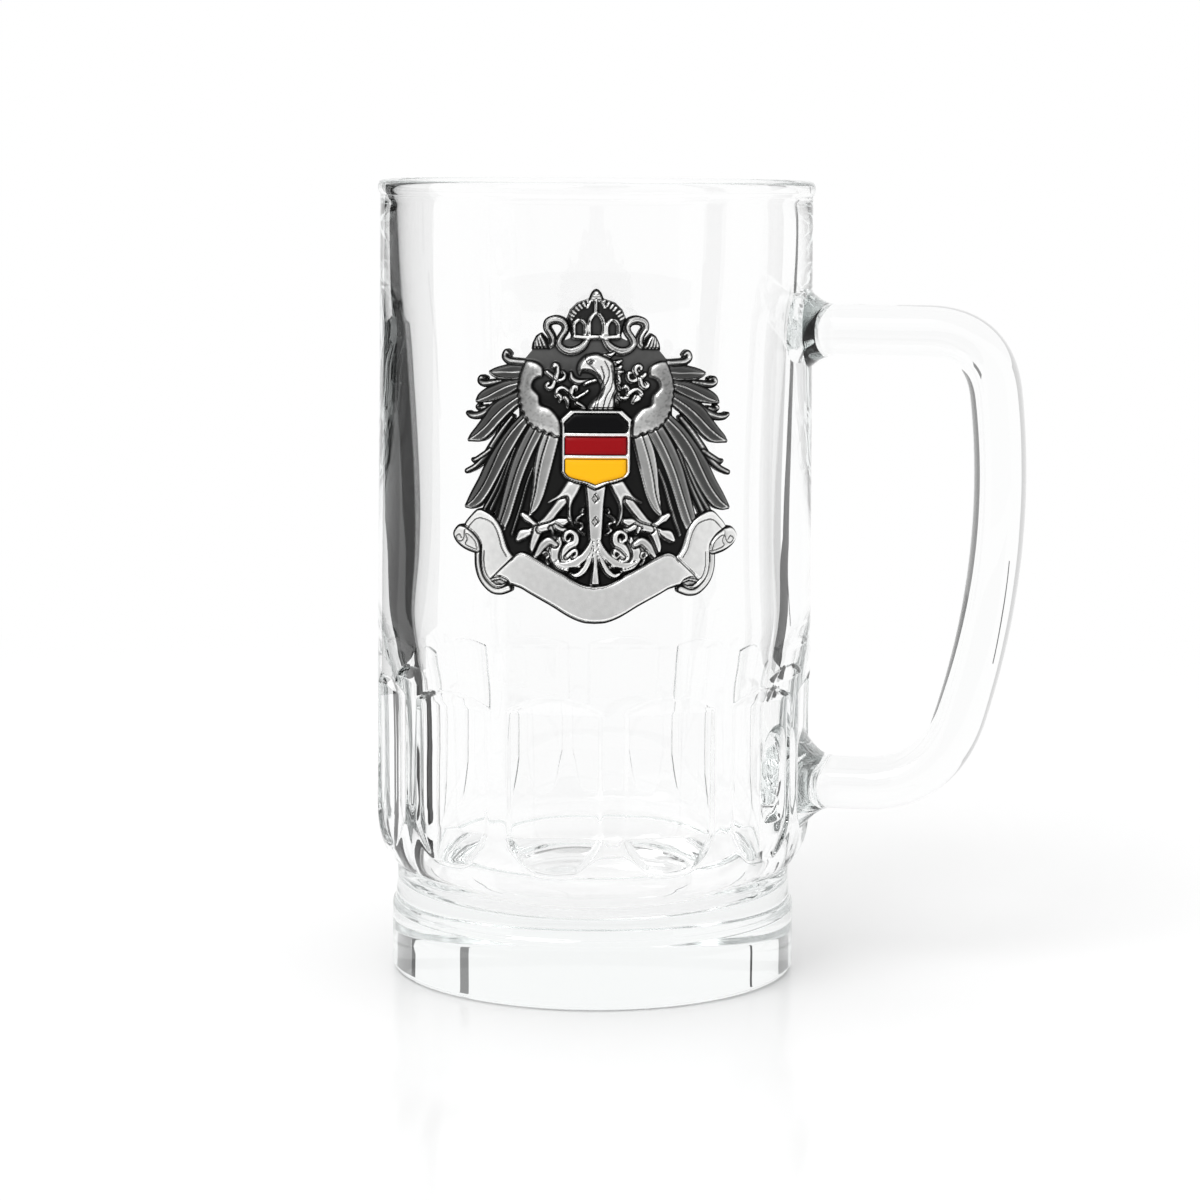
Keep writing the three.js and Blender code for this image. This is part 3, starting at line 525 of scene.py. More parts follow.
def swept_handle():
    """The handle: an oval swept along its line, flaring into a weld pad at each end."""
    line = handle_line()
    runs = np.concatenate([[0.0], np.cumsum(np.linalg.norm(np.diff(line, axis=0), axis=1))])
    length = runs[-1]
    at = np.linspace(0.0, length, HANDLE_RINGS)
    centre = np.stack([np.interp(at, runs, line[:, 0]), np.interp(at, runs, line[:, 1])], axis=1)
    along = np.gradient(centre, axis=0)
    along /= np.linalg.norm(along, axis=1, keepdims=True)
    upper = UPPER_WELD_FLARE * np.clip(1 - (at - WELD_BURY) / WELD_LENGTH, 0, 1.5) ** 2
    lower = LOWER_WELD_FLARE * np.clip(1 - (length - at - WELD_BURY) / WELD_LENGTH, 0, 1.5) ** 2
    flare = (upper + lower)[:, None]
    turn = np.arange(HANDLE_POINTS) * 2 * math.pi / HANDLE_POINTS
    through = (HANDLE_THICKNESS / 2 + flare) * full_oval(np.cos(turn))
    side = (HANDLE_WIDTH / 2 + flare / 3) * full_oval(np.sin(turn))
    x = centre[:, :1] + along[:, 1:] * through
    z = centre[:, 1:] - along[:, :1] * through
    points = np.stack([x, side, z], axis=-1).reshape(-1, 3)
    faces = ring_faces(HANDLE_RINGS, HANDLE_POINTS)
    last = (HANDLE_RINGS - 1) * HANDLE_POINTS
    faces.append(tuple(reversed(range(HANDLE_POINTS))))
    faces.append(tuple(range(last, last + HANDLE_POINTS)))
    return mesh_object("handle_glass", points, faces)


def fuse(body, other):
    """Joins another closed piece into the body, as hot glass runs together."""
    weld = body.modifiers.new("weld", "BOOLEAN")
    weld.operation = "UNION"
    weld.solver = "MANIFOLD"
    weld.object = other
    graph = bpy.context.evaluated_depsgraph_get()
    mesh = bpy.data.meshes.new_from_object(body.evaluated_get(graph))
    body.modifiers.clear()
    body.data = mesh
    bpy.data.objects.remove(other)
    mesh.shade_smooth()
    mesh.set_sharp_from_angle(angle=math.radians(40))
    return body


def drawn(points):
    """Drawing points as millimetres on the unrolled barrel: across, up."""
    points = np.asarray(points, float)
    across = (points[:, 0] - DRAWN_CENTRE + DRAWN_LEAN * points[:, 1]) / DRAWN_PER_MM
    up = (DRAWN_MIDDLE - points[:, 1]) / DRAWN_PER_MM
    turn = np.arcsin(across / FACE_RADIUS)
    drop = SIDE_DROP * FACE_RADIUS * (1 - np.cos(turn))
    return np.stack([BARREL_LOW_RADIUS * turn, up - drop], axis=1)


def mirrored(line):
    return line * np.array([-1.0, 1.0])


def smooth_line(points, steps=6):
    """A smooth curve through points."""
    padded = np.vstack([2 * points[0] - points[1], points, 2 * points[-1] - points[-2]])
    share = np.linspace(0, 1, steps, endpoint=False)[:, None]
    runs = []
    for a, b, c, d in zip(padded, padded[1:], padded[2:], padded[3:]):
        bend = (2 * a - 5 * b + 4 * c - d) * share ** 2 + (3 * b - a - 3 * c + d) * share ** 3
        runs.append(0.5 * (2 * b + (c - a) * share + bend))
    return np.vstack(runs + [points[-1:]])


def ease(value):
    value = np.clip(value, 0.0, 1.0)
    return value * value * (3 - 2 * value)


def stroke_inside(grid, line, widths):
    """How far grid points lie inside a stroke of varying width, and the half width there."""
    halves = np.interp(np.linspace(0, 1, len(line)), np.linspace(0, 1, len(widths)), widths) / 2
    inside = np.full(grid.shape[:2], -1e9)
    half = np.ones(grid.shape[:2])
    for a, b, start, end in zip(line, line[1:], halves, halves[1:]):
        run = b - a
        share = np.clip((grid - a) @ run / max(run @ run, 1e-9), 0.0, 1.0)
        here = start + (end - start) * share
        value = here - np.linalg.norm(grid - a - share[..., None] * run, axis=-1)
        closer = value > inside
        inside = np.where(closer, value, inside)
        half = np.where(closer, here, half)
    return inside, half


def area_inside(grid, outline):
    """How far grid points lie inside a closed outline, negative outside it."""
    closed = np.vstack([outline, outline[:1]])
    away, _ = stroke_inside(grid, closed, [0.0, 0.0])
    x, y = grid[..., 0], grid[..., 1]
    within = np.zeros(x.shape, bool)
    for (ax, ay), (bx, by) in zip(closed, closed[1:]):
        if ay != by:
            within ^= ((ay > y) != (by > y)) & (x < (bx - ax) * (y - ay) / (by - ay) + ax)
    return np.where(within, -away, away)


class Relief:
    """Height and tone of a relief on the unrolled barrel, built up shape by shape."""

    def __init__(self, half_width, low, high, step):
        self.u = np.arange(-half_width, half_width + step, step)
        self.v = np.arange(low, high + step, step)
        shape = (len(self.v), len(self.u))
        self.height = np.full(shape, PLATE_LEVEL)
        self.tone = np.zeros(shape)
        self.inside = np.full(shape, -9.0)

    def window(self, points, reach):
        low, high = points.min(axis=0) - reach, points.max(axis=0) + reach
        cols = slice(*np.searchsorted(self.u, [low[0], high[0]]))
        rows = slice(*np.searchsorted(self.v, [low[1], high[1]]))
        grid = np.stack(np.meshgrid(self.u[cols], self.v[rows]), axis=-1)
        return (rows, cols), grid

    def place(self, part, inside, level, bevel, tone, moat, dome=0.0, half=None):
        """Sets a shape on what is there, with a dark moat round it, and widens the outline."""
        height, shade = self.height[part], self.tone[part]
        ditch = (inside > -moat) & (inside <= 0)
        depth = ease((inside + moat) / max(moat, 1e-9))
        height[...] = np.where(ditch, height + (np.minimum(height, PLATE_LEVEL) - height) * depth, height)
        shade[...] = np.where(ditch, shade * (1 - depth), shade)
        rise = ease(inside / bevel)
        if half is not None:
            inward = np.clip(inside / half, 0, 1)
            rise = rise * (1 - dome) + dome * np.sqrt(np.clip(1 - (1 - inward) ** 2, 0, 1))
        body = PLATE_LEVEL + (level - PLATE_LEVEL) * rise
        over = inside > 0
        height[...] = np.where(over, np.maximum(body, np.minimum(height, body + 0.1)), height)
        shade[...] = np.where(over, tone * ease(0.25 + inside / bevel), shade)
        self.inside[part] = np.maximum(self.inside[part], inside + PLATE_MARGIN)

    def area(self, outline, level, bevel, tone, moat=0.3, dome=0.0):
        part, grid = self.window(outline, moat + 1.0)
        inside = area_inside(grid, outline)
        half = np.full(inside.shape, max(inside.max(), 0.1))
        self.place(part, inside, level, bevel, tone, moat, dome, half)

    def stroke(self, line, widths, level, tone, moat=0.25, dome=0.7, bevel=0.3):
        part, grid = self.window(line, max(widths) + moat + 1.0)
        inside, half = stroke_inside(grid, line, widths)
        self.place(part, inside, level, bevel, tone, moat, dome, half)

    def pit(self, outline, depth):
        """Roughens an area with small dark hollows."""
        part, grid = self.window(outline, 0.0)
        lumps = soften(np.random.default_rng(7).normal(size=grid.shape[:2]), 2)
        hollow = depth * np.clip(lumps / lumps.std(), 0, 2) * (area_inside(grid, outline) > 0)
        self.height[part] -= 0.2 * hollow
        self.tone[part] *= 1 - hollow

    def shade_outward(self, outline, ramp):
        """Darkens an area outward as painted shade. The ramp is where shade starts, where it is full, and its
        share.
        """
        part, grid = self.window(outline, 0.0)
        start, full, share = ramp
        away = ease((np.abs(grid[..., 0]) - start) / (full - start)) * (area_inside(grid, outline) > 0)
        self.tone[part] *= 1 - share * away

    def ridge(self, line, width, rise, tone):
        """Raises a thin bright line, or cuts a dark one where rise is negative."""
        part, grid = self.window(line, width + 0.3)
        inside, half = stroke_inside(grid, line, [width])
        share = ease(np.clip(inside / half, 0, 1) * 1.5)
        self.height[part] += rise * share
        self.tone[part] += (tone - self.tone[part]) * share


def both_sides(line):
    return (line, mirrored(line))


def both_wings(line):
    """A wing's line on the right, and on the left where the wing is a little shorter."""
    over = np.maximum(line[:, :1] - LEFT_WING_START, 0.0)
    return (line, mirrored(line - over * np.array([LEFT_WING_INSET, 0.0])))


def carve_wings(relief):
    for tone, points, widths in SLIM_FEATHERS:
        for line in both_wings(smooth_line(drawn(points))):
            relief.stroke(line, widths, FEATHER_LEVEL, tone, dome=0.4)
            relief.ridge(line, 0.24, 0.16, min(1.0, tone + 0.42))
    for tone, outer, middle, inner in FEATHERS:
        edges = [both_wings(smooth_line(drawn(points))) for points in (outer, middle, inner)]
        for side, (out, mid, low) in zip((1.0, -1.0), zip(*edges)):
            aside = np.array([side, 0.0])
            relief.area(np.vstack([out, low[::-1]]), FEATHER_LEVEL, 0.3, tone, moat=0.32)
            relief.ridge(mid + 0.16 * aside, 0.3, -0.34, tone * 0.25)
            relief.ridge(mid - 0.14 * aside, 0.28, 0.2, 0.86)
            relief.ridge(low + 0.16 * aside + np.array([0.0, 0.1]), 0.3, 0.2, 0.84)
            relief.ridge(out - 0.14 * aside, 0.22, 0.1, min(1.0, tone + 0.12))
    for outline in both_sides(smooth_line(drawn(SHOULDER + SHOULDER[:1]), 4)):
        relief.area(outline, FIGURE_LEVEL + 0.15, 0.4, 0.76, moat=0.1, dome=0.8)
        relief.pit(outline, SHOULDER_PITS)
        relief.shade_outward(outline, SHOULDER_SHADE)


def carve_crown(relief):
    for line in both_sides(smooth_line(drawn(RIBBON))):
        relief.stroke(line, RIBBON_WIDTHS, FIGURE_LEVEL - 0.2, 0.5, dome=0.2)
        away = np.gradient(line, axis=0)
        away = np.stack([-away[:, 1], away[:, 0]], axis=1) / np.linalg.norm(away, axis=1, keepdims=True)
        stations = np.linspace(0, 1, len(RIBBON_WIDTHS))
        widths = np.interp(np.linspace(0, 1, len(line)), stations, RIBBON_WIDTHS)
        for share in (-0.4, 0.0, 0.4):
            relief.ridge(line + away * (widths * share)[:, None], 0.22, 0.14, 0.88)
    for outline in both_sides(drawn(TASSEL)):
        relief.area(outline, FEATHER_LEVEL, 0.3, 0.25)
    for strand in TASSEL_STRANDS:
        for line in both_sides(smooth_line(drawn(strand))):
            relief.ridge(line, 0.36, 0.35, 0.85)
    half = drawn(CROWN_DOME)
    relief.area(np.vstack([half, mirrored(half)[::-1]]), FEATHER_LEVEL, 0.35, 0.2, moat=0.3)
    half = drawn(FINIAL)
    relief.area(np.vstack([half, mirrored(half)[::-1]]), FIGURE_LEVEL, 0.4, 0.8, moat=0.1, dome=0.6)
    for row in range(3):
        level = 100 + 24 * row
        reach = 20 + 13 * row
        relief.ridge(drawn([(97 - reach, level + 6), (97, level), (97 + reach, level + 6)]), 0.2, -0.14, 0.3)
    for line in both_sides(smooth_line(drawn(ARCH_RIM))):
        relief.ridge(line, 0.34, 0.2, 0.5)
    beads = smooth_line(drawn(ARCH_BEADS), 12)
    for share in np.linspace(0.06, 0.96, ARCH_BEAD_COUNT):
        index = int(share * (len(beads) - 2))
        along = beads[index + 1] - beads[index]
        across = np.array([-along[1], along[0]]) / np.linalg.norm(along)
        for bead in both_sides(np.stack([beads[index] - across * 0.42, beads[index] + across * 0.3])):
            relief.ridge(bead, 0.42, 0.4, 0.95)
    for outline in [drawn(CENTRE_WINDOW), *both_sides(drawn(SIDE_WINDOW))]:
        relief.area(outline, PLATE_LEVEL + 0.2, 0.3, 0.3, moat=0.1)
        frame_line = smooth_line(outline)
        relief.stroke(frame_line, [0.58, 0.58], FIGURE_LEVEL - 0.1, 1.0, moat=0.04, dome=0.1, bevel=0.1)
    for points, width in CROWN_LINES:
        for line in both_sides(smooth_line(drawn(points))):
            relief.stroke(line, [width, width], FIGURE_LEVEL - 0.1, 1.0, moat=0.06, dome=0.1, bevel=0.1)


def carve_head(relief):
    for sprig in SPRIGS_RIGHT + SPRIGS_LEFT:
        line = smooth_line(drawn(sprig))
        relief.stroke(line, [0.8, 0.78, 0.7, 0.6], FIGURE_LEVEL - 0.25, 1.0, moat=0.16, dome=0.3, bevel=0.2)
    for tuft in CREST:
        line = smooth_line(drawn(tuft))
        relief.stroke(line, [1.0, 0.85, 0.5], FIGURE_LEVEL - 0.1, 0.95, moat=0.16, dome=0.3, bevel=0.2)
    for tone, points, widths in BEAK_PIECES:
        relief.stroke(smooth_line(drawn(points)), widths, FIGURE_LEVEL - 0.2, tone)
    relief.area(smooth_line(drawn(HEAD + HEAD[:1]), 4), FIGURE_LEVEL + 0.1, 0.8, 0.96, moat=0.3, dome=0.3)
    for groove in HEAD_GROOVES:
        relief.ridge(smooth_line(drawn(groove)), 0.26, -0.3, 0.22)
    eye = drawn([EYE, (EYE[0] + 1, EYE[1])])
    relief.ridge(eye, 0.95, -0.3, 0.03)
    relief.ridge(eye, 0.36, 0.3, 0.95)


def carve_figure(relief):
    for outline in both_sides(smooth_line(drawn(LEAF + LEAF[:1]), 3)):
        relief.area(outline, FIGURE_LEVEL - 0.3, 0.7, 0.56, moat=0.1, dome=0.8)
    for tone, points, widths in LEG_PIECES + ACANTHUS:
        for line in both_sides(smooth_line(drawn(points))):
            relief.stroke(line, widths, FIGURE_LEVEL, tone, moat=0.14, dome=0.7, bevel=0.3)
    for outline in both_sides(smooth_line(drawn(THIGH + THIGH[:1]), 3)):
        relief.area(outline, FIGURE_LEVEL + 0.1, 0.5, 0.84, moat=0.16, dome=0.9)
    half = drawn(TAIL)
    relief.area(np.vstack([half, mirrored(half)[::-1]]), FIGURE_LEVEL - 0.05, 0.3, 0.8, moat=0.12)
    for points, widths in TAIL_FLARES:
        for line in both_sides(smooth_line(drawn(points))):
            relief.stroke(line, widths, FIGURE_LEVEL - 0.05, 0.82, moat=0.0, dome=0.0, bevel=0.12)
    for centre in TAIL_DIAMONDS:
        x, y = centre
        diamond = drawn([(x - 26, y), (x, y - 40), (x + 26, y), (x, y + 40)])
        relief.area(diamond, FIGURE_LEVEL + 0.35, 0.2, 1.0, moat=0.08)


def carve_scroll(relief):
    for line in both_sides(smooth_line(drawn(FOLD_RIM))):
        relief.stroke(line, [1.0, 1.1, 1.1, 1.0], FOLD_LEVEL - 0.2, 0.84)
    for outline in both_sides(smooth_line(drawn(FOLD + FOLD[:1]), 4)):
        relief.area(outline, FOLD_LEVEL, 0.2, 0.9)
    for outline in both_sides(smooth_line(drawn(CURL + CURL[:1]), 4)):
        relief.area(outline, FOLD_LEVEL + 0.12, 0.35, 0.87, moat=0.2)
    for groove in FOLD_GROOVES + CURL_GROOVES:
        for line in both_sides(smooth_line(drawn(groove))):
            relief.ridge(line, 0.24, -0.22, 0.3)
    for outline in both_sides(drawn(SCROLL_LENS)):
        relief.area(outline, FOLD_LEVEL, 0.3, 0.6, moat=0.16)
    top, foot = smooth_line(drawn(SCROLL_TOP)), smooth_line(drawn(SCROLL_FOOT))
    half = np.vstack([top, drawn(SCROLL_END), foot])
    relief.area(np.vstack([half, mirrored(half)[::-1]]), SCROLL_LEVEL, 0.22, 0.93, moat=0.2)
    for line in both_sides(top - np.array([0.06, 0.34])):
        relief.ridge(line, 0.28, -0.2, 0.34)


def shield_outline(inset=0.0):
    """Clipped upper corners, straight sides and a pointed foot."""
    half, ear = SHIELD_HALF_WIDTH - inset, SHIELD_HALF_WIDTH + SHIELD_EAR - inset
    top, corner = SHIELD_TOP - inset, SHIELD_CORNER
    tip = SHIELD_TIP + 1.2 * inset
    rise = SHIELD_SIDE_FOOT - tip
    foot = smooth_line(np.array([(across * half, tip + up * rise) for across, up in SHIELD_FOOT]))
    corners = [(half, top - 2 * corner), (ear, top - corner), (ear - corner, top)]
    right = np.vstack([foot, corners])
    return np.vstack([right, mirrored(right[1:])[::-1]])


def cell_inside(grid, index, gap):
    """How far grid points lie inside one enamel cell of the shield."""
    inside = area_inside(grid, shield_outline(SHIELD_WALL)) - gap
    if index > 0:
        inside = np.minimum(inside, CELL_EDGES[index - 1] - CELL_WALL / 2 - gap - grid[..., 1])
    if index < len(CELL_EDGES):
        inside = np.minimum(inside, grid[..., 1] - CELL_EDGES[index] - CELL_WALL / 2 - gap)
    return inside


def carve_shield(relief):
    relief.area(shield_outline(), SHIELD_LEVEL, 0.14, 0.92, moat=0.26)
    part, grid = relief.window(shield_outline(), 0.5)
    for index in range(3):
        cut = ease(cell_inside(grid, index, 0.0) / 0.16 + 0.5)
        relief.height[part] -= CELL_DEPTH * cut
        relief.tone[part] *= 1 - 0.7 * cut


def soften(values, cells):
    """Averages a grid over a square of cells, twice."""
    kernel = np.ones(cells) / cells
    for _ in range(2):
        for axis in (0, 1):
            values = np.apply_along_axis(np.convolve, axis, values, kernel, "same")
    return values


def carved_relief():
    relief = Relief(30.2, -30.4, 30.4, RELIEF_STEP)
    half = drawn(FIELD)
    field = np.vstack([half, mirrored(half)[::-1]])
    part, grid = relief.window(field, 1.0)
    relief.inside[part] = np.maximum(relief.inside[part], area_inside(grid, field))
    # Dark field, lighter towards its top as a painted sheen
    relief.tone[part] = 0.14 + 0.28 * ease((grid[..., 1] - 9.0) / 9.0)
    carve_wings(relief)
    carve_crown(relief)
    carve_head(relief)
    carve_figure(relief)
    carve_scroll(relief)
    carve_shield(relief)
    hollow = np.clip(soften(relief.height, 5) - relief.height, -0.3, 0.3)
    relief.tone = np.clip(relief.tone - 0.9 * hollow, 0.0, 1.0)
    relief.height = np.maximum(soften(relief.height, 2), PLATE_LEVEL * 0.9)
    return relief


def bent(across, up, level):
    """Places points of the unrolled barrel round it, PLATE_BACK and their level out from the glass."""
    z = BADGE_Z + up
    turn = math.radians(BADGE_AZIMUTH) + across / BARREL_LOW_RADIUS
    radius = barrel_radius(z) + PLATE_BACK + level
    return np.stack([radius * np.cos(turn), radius * np.sin(turn), z], axis=-1)


def outlined_cells(inside):
    """Grid corners and crossings that make up the part of a grid inside an outline.

    Returns the corners used, the crossings as (corner, corner, share), the faces over both,
    and the outline's edges.
    """
    rows, cols = inside.shape
    within = inside > 0
    number = -np.ones(rows * cols, int)
    used = np.flatnonzero(within)
    number[used] = np.arange(len(used))
    flat = inside.ravel()
    corner = np.arange(rows * cols).reshape(rows, cols)
    around = [corner[:-1, :-1], corner[:-1, 1:], corner[1:, 1:], corner[1:, :-1]]
    loops = np.stack(around, axis=-1).reshape(-1, 4)
    count = within.ravel()[loops].sum(axis=1)
    faces = number[loops[count == 4]].tolist()
    crossings, places, edges = [], {}, []
    for loop in loops[(count > 0) & (count < 4)].tolist():
        face, marks = [], []
        for a, b in zip(loop, loop[1:] + loop[:1]):
            if flat[a] > 0:
                face.append(int(number[a]))
            if (flat[a] > 0) != (flat[b] > 0):
                key = (min(a, b), max(a, b))
                if key not in places:
                    places[key] = len(used) + len(crossings)
                    crossings.append((a, b, flat[a] / (flat[a] - flat[b])))
                face.append(places[key])
                marks.append((places[key], flat[a] > 0))
        faces.append(face)
        for (here, leaving), (after, _) in zip(marks, marks[1:] + marks[:1]):
            if leaving:
                edges.append((here, after))
    return used, crossings, faces, edges


def relief_piece(name, u, v, inside, height, tone=None):
    """A closed piece: the relief on top, a plain back and walls along the outline, bent round the barrel."""
    used, crossings, faces, edges = outlined_cells(inside)
    across, up = [values.ravel() for values in np.meshgrid(u, v)]
    start = np.array([c[0] for c in crossings])
    end = np.array([c[1] for c in crossings])
    share = np.array([c[2] for c in crossings])

    def sampled(values):
        return np.concatenate([values[used], values[start] + (values[end] - values[start]) * share])

    x, y, level = sampled(across), sampled(up), sampled(height.ravel())
    top, back = bent(x, y, level), bent(x, y, np.zeros(len(x)))
    count = len(x)
    solid = faces + [[corner + count for corner in reversed(face)] for face in faces]
    solid += [(a, a + count, b + count, b) for a, b in edges]
    piece = mesh_object(name, np.vstack([top, back]), solid)
    piece.data.set_sharp_from_angle(angle=math.radians(62))
    if tone is not None:
        shade = piece.data.attributes.new("tone", "FLOAT", "POINT")
        shade.data.foreach_set("value", np.concatenate([sampled(tone.ravel()), np.zeros(count)]))
    return piece


def enamel_piece(name, index):
    """One domed enamel fill of the shield."""
    u = np.arange(-5.8, 5.8, 0.1)
    v = np.arange(-6.0, 8.0, 0.1)
    grid = np.stack(np.meshgrid(u, v), axis=-1)
    inside = cell_inside(grid, index, ENAMEL_GAP)
    dome = 1 - (1 - np.clip(inside / 0.8, 0, 1)) ** 2
    floor = SHIELD_LEVEL - CELL_DEPTH
    height = floor + 0.42 + 0.3 * dome
    return relief_piece(name, u, v, inside, height)


def new_material(name):
    material = bpy.data.materials.new(name)
    material.use_nodes = True
    tree = material.node_tree
    return material, tree, tree.nodes["Principled BSDF"]


def glass_material():
    """Clear soda-lime glass, faintly green-grey where the light runs far through it."""
    material, tree, shader = new_material("clear_glass")
    shader.inputs["Base Color"].default_value = (1.0, 1.0, 1.0, 1.0)
    shader.inputs["Transmission Weight"].default_value = 1.0
    shader.inputs["Roughness"].default_value = 0.0
    shader.inputs["IOR"].default_value = 1.5
    tint = tree.nodes.new("ShaderNodeVolumeAbsorption")
    tint.inputs["Color"].default_value = (0.78, 0.84, 0.83, 1.0)
    tint.inputs["Density"].default_value = 3.5
    tree.links.new(tint.outputs["Volume"], tree.nodes["Material Output"].inputs["Volume"])
    return material


def add_node(tree, kind, **values):
    """A shader node with some of its settings set."""
    node = tree.nodes.new(kind)
    for name, value in values.items():
        setattr(node, name, value)
    return node


def noise(tree, scale, detail=3.0):
    """Noise over the object's own coordinates, scale in lumps per metre."""
    place = tree.nodes.new("ShaderNodeTexCoord")
    texture = tree.nodes.new("ShaderNodeTexNoise")
    texture.inputs["Scale"].default_value = scale
    texture.inputs["Detail"].default_value = detail
    tree.links.new(place.outputs["Object"], texture.inputs["Vector"])
    return texture.outputs["Fac"]


def spread(tree, value, low, high, from_low=0.0, from_high=1.0):
    """A value mapped from one range to another."""
    node = tree.nodes.new("ShaderNodeMapRange")
    for name, amount in zip(("From Min", "From Max", "To Min", "To Max"), (from_low, from_high, low, high)):
        node.inputs[name].default_value = amount
    tree.links.new(value, node.inputs["Value"])
    return node.outputs["Result"]


def combine(tree, operation, a, b):
    node = add_node(tree, "ShaderNodeMath", operation=operation)
    tree.links.new(a, node.inputs[0])
    tree.links.new(b, node.inputs[1])
    return node.outputs[0]


def add_bump(tree, shader, height, strength, depth):
    bump = tree.nodes.new("ShaderNodeBump")
    bump.inputs["Strength"].default_value = strength
    bump.inputs["Distance"].default_value = depth
    tree.links.new(height, bump.inputs["Height"])
    tree.links.new(bump.outputs["Normal"], shader.inputs["Normal"])


def pewter_material():
    """Antiqued pewter: black in the hollows, rubbed bright on the high parts, unevenly worn."""
    material, tree, shader = new_material("antique_pewter")
    tone = add_node(tree, "ShaderNodeAttribute", attribute_name="tone").outputs["Fac"]
    wear = combine(tree, "MULTIPLY", spread(tree, noise(tree, PEWTER_MOTTLE), 0.92, 1.06), tone)
    ramp = tree.nodes.new("ShaderNodeValToRGB").color_ramp
    node = tree.nodes["Color Ramp"]
    while len(ramp.elements) < len(PEWTER_TONES):
        ramp.elements.new(1.0)
    for element, (place, grey) in zip(ramp.elements, PEWTER_TONES):
        element.position = place
        element.color = (grey, grey, grey * 0.99, 1.0)
    tree.links.new(wear, node.inputs["Fac"])
    tree.links.new(node.outputs["Color"], shader.inputs["Base Color"])
    tree.links.new(spread(tree, tone, 0.5, 0.27), shader.inputs["Roughness"])
    shader.inputs["Metallic"].default_value = 1.0
    add_bump(tree, shader, noise(tree, PEWTER_GRAIN, 2.0), 0.25, 0.0001)
    return material


def enamel_material(name, colour):
    """Hard glossy enamel with a slight unevenness of its surface."""
    material, tree, shader = new_material(name)
    shader.inputs["Base Color"].default_value = (*colour, 1.0)
    tree.links.new(spread(tree, noise(tree, 700.0), 0.1, 0.22), shader.inputs["Roughness"])
    shader.inputs["Specular IOR Level"].default_value = 0.1
    add_bump(tree, shader, noise(tree, 420.0), 0.12, 0.0002)
    return material


def pad_material():
    """Dark, matt mounting adhesive."""
    material, tree, shader = new_material("adhesive_pad")
    shader.inputs["Base Color"].default_value = (0.05, 0.05, 0.052, 1.0)
    tree.links.new(spread(tree, noise(tree, 1500.0), 0.6, 0.85), shader.inputs["Roughness"])
    add_bump(tree, shader, noise(tree, 2500.0), 0.3, 0.0002)
    return material


def dress(piece, material, slot, *nodes):
    piece.data.materials.clear()
    piece.data.materials.append(material)
    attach(piece, "root")
    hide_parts(*nodes)


def seen_rays(tree):
    """A value of 1 for camera, glossy and transmission rays."""
    path = tree.nodes.new("ShaderNodeLightPath")
    total = path.outputs["Is Camera Ray"]
    for name in ("Is Glossy Ray", "Is Transmission Ray"):
        total = combine(tree, "MAXIMUM", total, path.outputs[name])
    return total


def mix_shaders(tree, share, first, second, output):
    """Sends a mix of two shaders to the output, by the second one's share."""
    mix = tree.nodes.new("ShaderNodeMixShader")
    tree.links.new(share, mix.inputs["Fac"])
    tree.links.new(first.outputs[0], mix.inputs[1])
    tree.links.new(second.outputs[0], mix.inputs[2])
    tree.links.new(mix.outputs[0], tree.nodes[output].inputs["Surface"])


def white_world(ambient):
    """A white surround: full white where it is seen, and a softer light for lit surfaces."""
    world = bpy.data.worlds.new("studio")
    bpy.context.scene.world = world
    world.use_nodes = True
    tree = world.node_tree
    lit = tree.nodes["Background"]
    lit.inputs["Color"].default_value = (1.0, 1.0, 1.0, 1.0)
    lit.inputs["Strength"].default_value = ambient
    seen = tree.nodes.new("ShaderNodeBackground")
    seen.inputs["Color"].default_value = (1.0, 1.0, 1.0, 1.0)
    seen.inputs["Strength"].default_value = 1.0
    mix_shaders(tree, seen_rays(tree), lit, seen, "World Output")


def floor_material(near, far):
    """A pale, faintly glossy floor that fades to the white of the surround."""
    material, tree, shader = new_material("pale_floor")
    shader.inputs["Base Color"].default_value = (0.93, 0.93, 0.93, 1.0)
    shader.inputs["Roughness"].default_value = 0.15
    place = tree.nodes.new("ShaderNodeTexCoord")
    distance = add_node(tree, "ShaderNodeVectorMath", operation="LENGTH")
    tree.links.new(place.outputs["Object"], distance.inputs[0])
    fade = add_node(tree, "ShaderNodeMapRange", interpolation_type="SMOOTHSTEP")
    fade.inputs["From Min"].default_value = near
    fade.inputs["From Max"].default_value = far
    tree.links.new(distance.outputs["Value"], fade.inputs["Value"])
    faded = combine(tree, "MULTIPLY", fade.outputs["Result"], seen_rays(tree))
    path = tree.nodes.new("ShaderNodeLightPath")
    through = add_node(tree, "ShaderNodeMath", operation="MULTIPLY_ADD", use_clamp=True)
    through.inputs[1].default_value = FLOOR_GLOW
    tree.links.new(path.outputs["Is Transmission Ray"], through.inputs[0])
    tree.links.new(faded, through.inputs[2])
    white = tree.nodes.new("ShaderNodeEmission")
    white.inputs["Strength"].default_value = 1.0
    mix_shaders(tree, through.outputs[0], shader, white, "Material Output")
    return material


def add_floor(half=3000.0):
    drop = -0.1
    corners = [(-half, -half, drop), (half, -half, drop), (half, half, drop), (-half, half, drop)]
    floor = mesh_object("floor", corners, [(0, 1, 2, 3)])
    floor.data.materials.append(floor_material(0.12, 0.45))


def from_view(aside, ahead, z=0.0):
    """A point in millimetres given to the right of the mug and beyond it, as the camera sees them."""
    turn = math.radians(CAMERA_AZIMUTH)
    right = Vector((math.cos(turn), math.sin(turn), 0.0))
    ahead_way = Vector((-math.sin(turn), math.cos(turn), 0.0))
    return right * aside + ahead_way * ahead + Vector((0.0, 0.0, z))


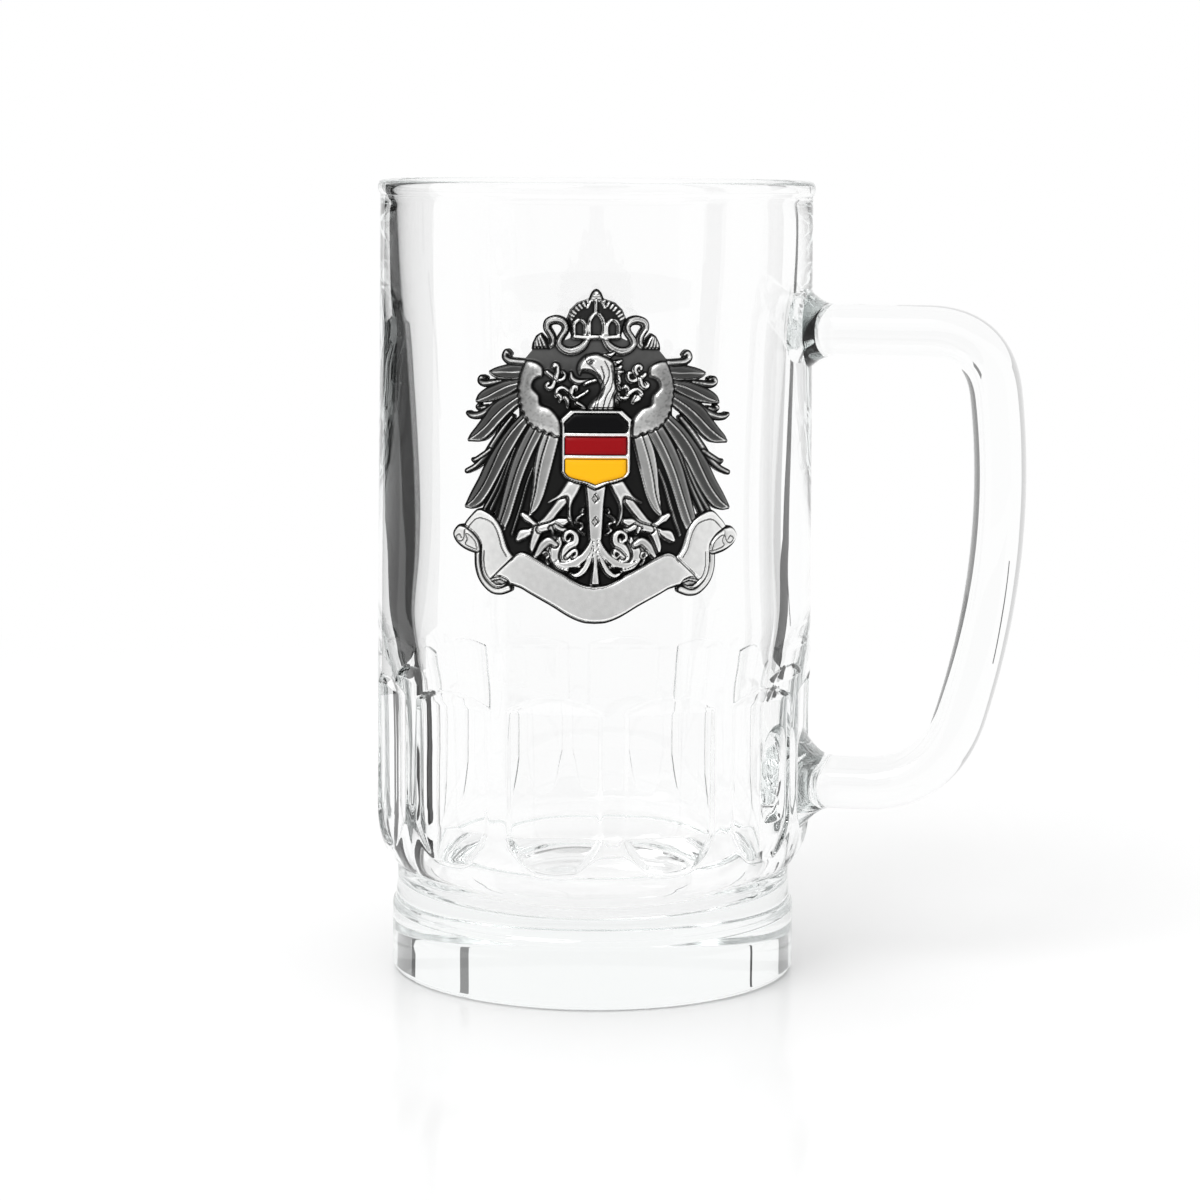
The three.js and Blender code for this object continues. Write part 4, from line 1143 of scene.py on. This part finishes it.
def card_material(name, grey):
    """A grey that is the same from every side."""
    material, tree, shader = new_material(name)
    tree.nodes.remove(shader)
    shade = tree.nodes.new("ShaderNodeEmission")
    shade.inputs["Color"].default_value = (grey, grey, grey, 1.0)
    tree.links.new(shade.outputs[0], tree.nodes["Material Output"].inputs["Surface"])
    return material


def add_card(name, ahead, grey, stations, through_glass):
    """A grey card across the view, hidden from the camera and seen either through glass or in reflections."""
    corners = [tuple(from_view(aside, ahead, height)) for height, *edges in stations for aside in edges]
    faces = [(i, i + 1, i + 3, i + 2) for i in range(0, len(corners) - 2, 2)]
    board = mesh_object(name, corners, faces)
    board.data.materials.append(card_material(name, grey))
    board.visible_camera = False
    board.visible_diffuse = False
    board.visible_shadow = False
    board.visible_transmission = through_glass
    board.visible_glossy = not through_glass


def add_lamp(name, place, target, size, power):
    light = bpy.data.lights.new(name, "AREA")
    light.shape = "SQUARE"
    light.size = size
    light.energy = power
    lamp = bpy.data.objects.new(name, light)
    lamp.location = place * MM
    lamp.rotation_euler = ((target - place).to_track_quat("-Z", "Y")).to_euler()
    bpy.context.scene.collection.objects.link(lamp)


def add_camera():
    """The photograph's view: level with the rim, looking a little down."""
    data = bpy.data.cameras.new("view")
    data.sensor_width = 36.0
    data.lens = CAMERA_LENS
    camera = bpy.data.objects.new("view", data)
    place = from_view(0.0, -CAMERA_DISTANCE, CAMERA_HEIGHT)
    drop = CAMERA_DISTANCE * math.tan(math.radians(CAMERA_TILT))
    target = from_view(CAMERA_ASIDE, 0.0, CAMERA_HEIGHT - drop)
    facing = (target - place).to_track_quat("-Z", "Y").to_matrix().to_4x4()
    roll = Matrix.Rotation(math.radians(CAMERA_ROLL), 4, "Z")
    camera.matrix_world = Matrix.Translation(place * MM) @ facing @ roll
    bpy.context.scene.collection.objects.link(camera)
    bpy.context.scene.camera = camera


add_camera()
mug = fuse(turned_body(), swept_handle())
dress(mug, glass_material(), "glass", "glass_body", "handle")
relief = carved_relief()
medallion = relief_piece("medallion_relief", relief.u, relief.v, relief.inside, relief.height, relief.tone)
dress(medallion, pewter_material(), "pewter", "medallion")
for index, (name, colour) in enumerate(ENAMELS):
    dress(enamel_piece(name + "_fill", index), enamel_material(name, colour), name, name)
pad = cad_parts["adhesive_pad"].data
pad.materials.clear()
pad.materials.append(pad_material())

add_floor()
white_world(1.0)
for card, values in CARDS_THROUGH_GLASS.items():
    add_card(card, *values, through_glass=True)
for card, values in CARDS_IN_REFLECTIONS.items():
    add_card(card, *values, through_glass=False)
add_lamp("key", from_view(-500.0, -700.0, 900.0), from_view(0.0, 0.0, 80.0), 0.7, 5.0)

scene = bpy.context.scene
scene.view_settings.view_transform = "Standard"
scene.cycles.max_bounces = 32
scene.cycles.transmission_bounces = 32
scene.cycles.glossy_bounces = 24
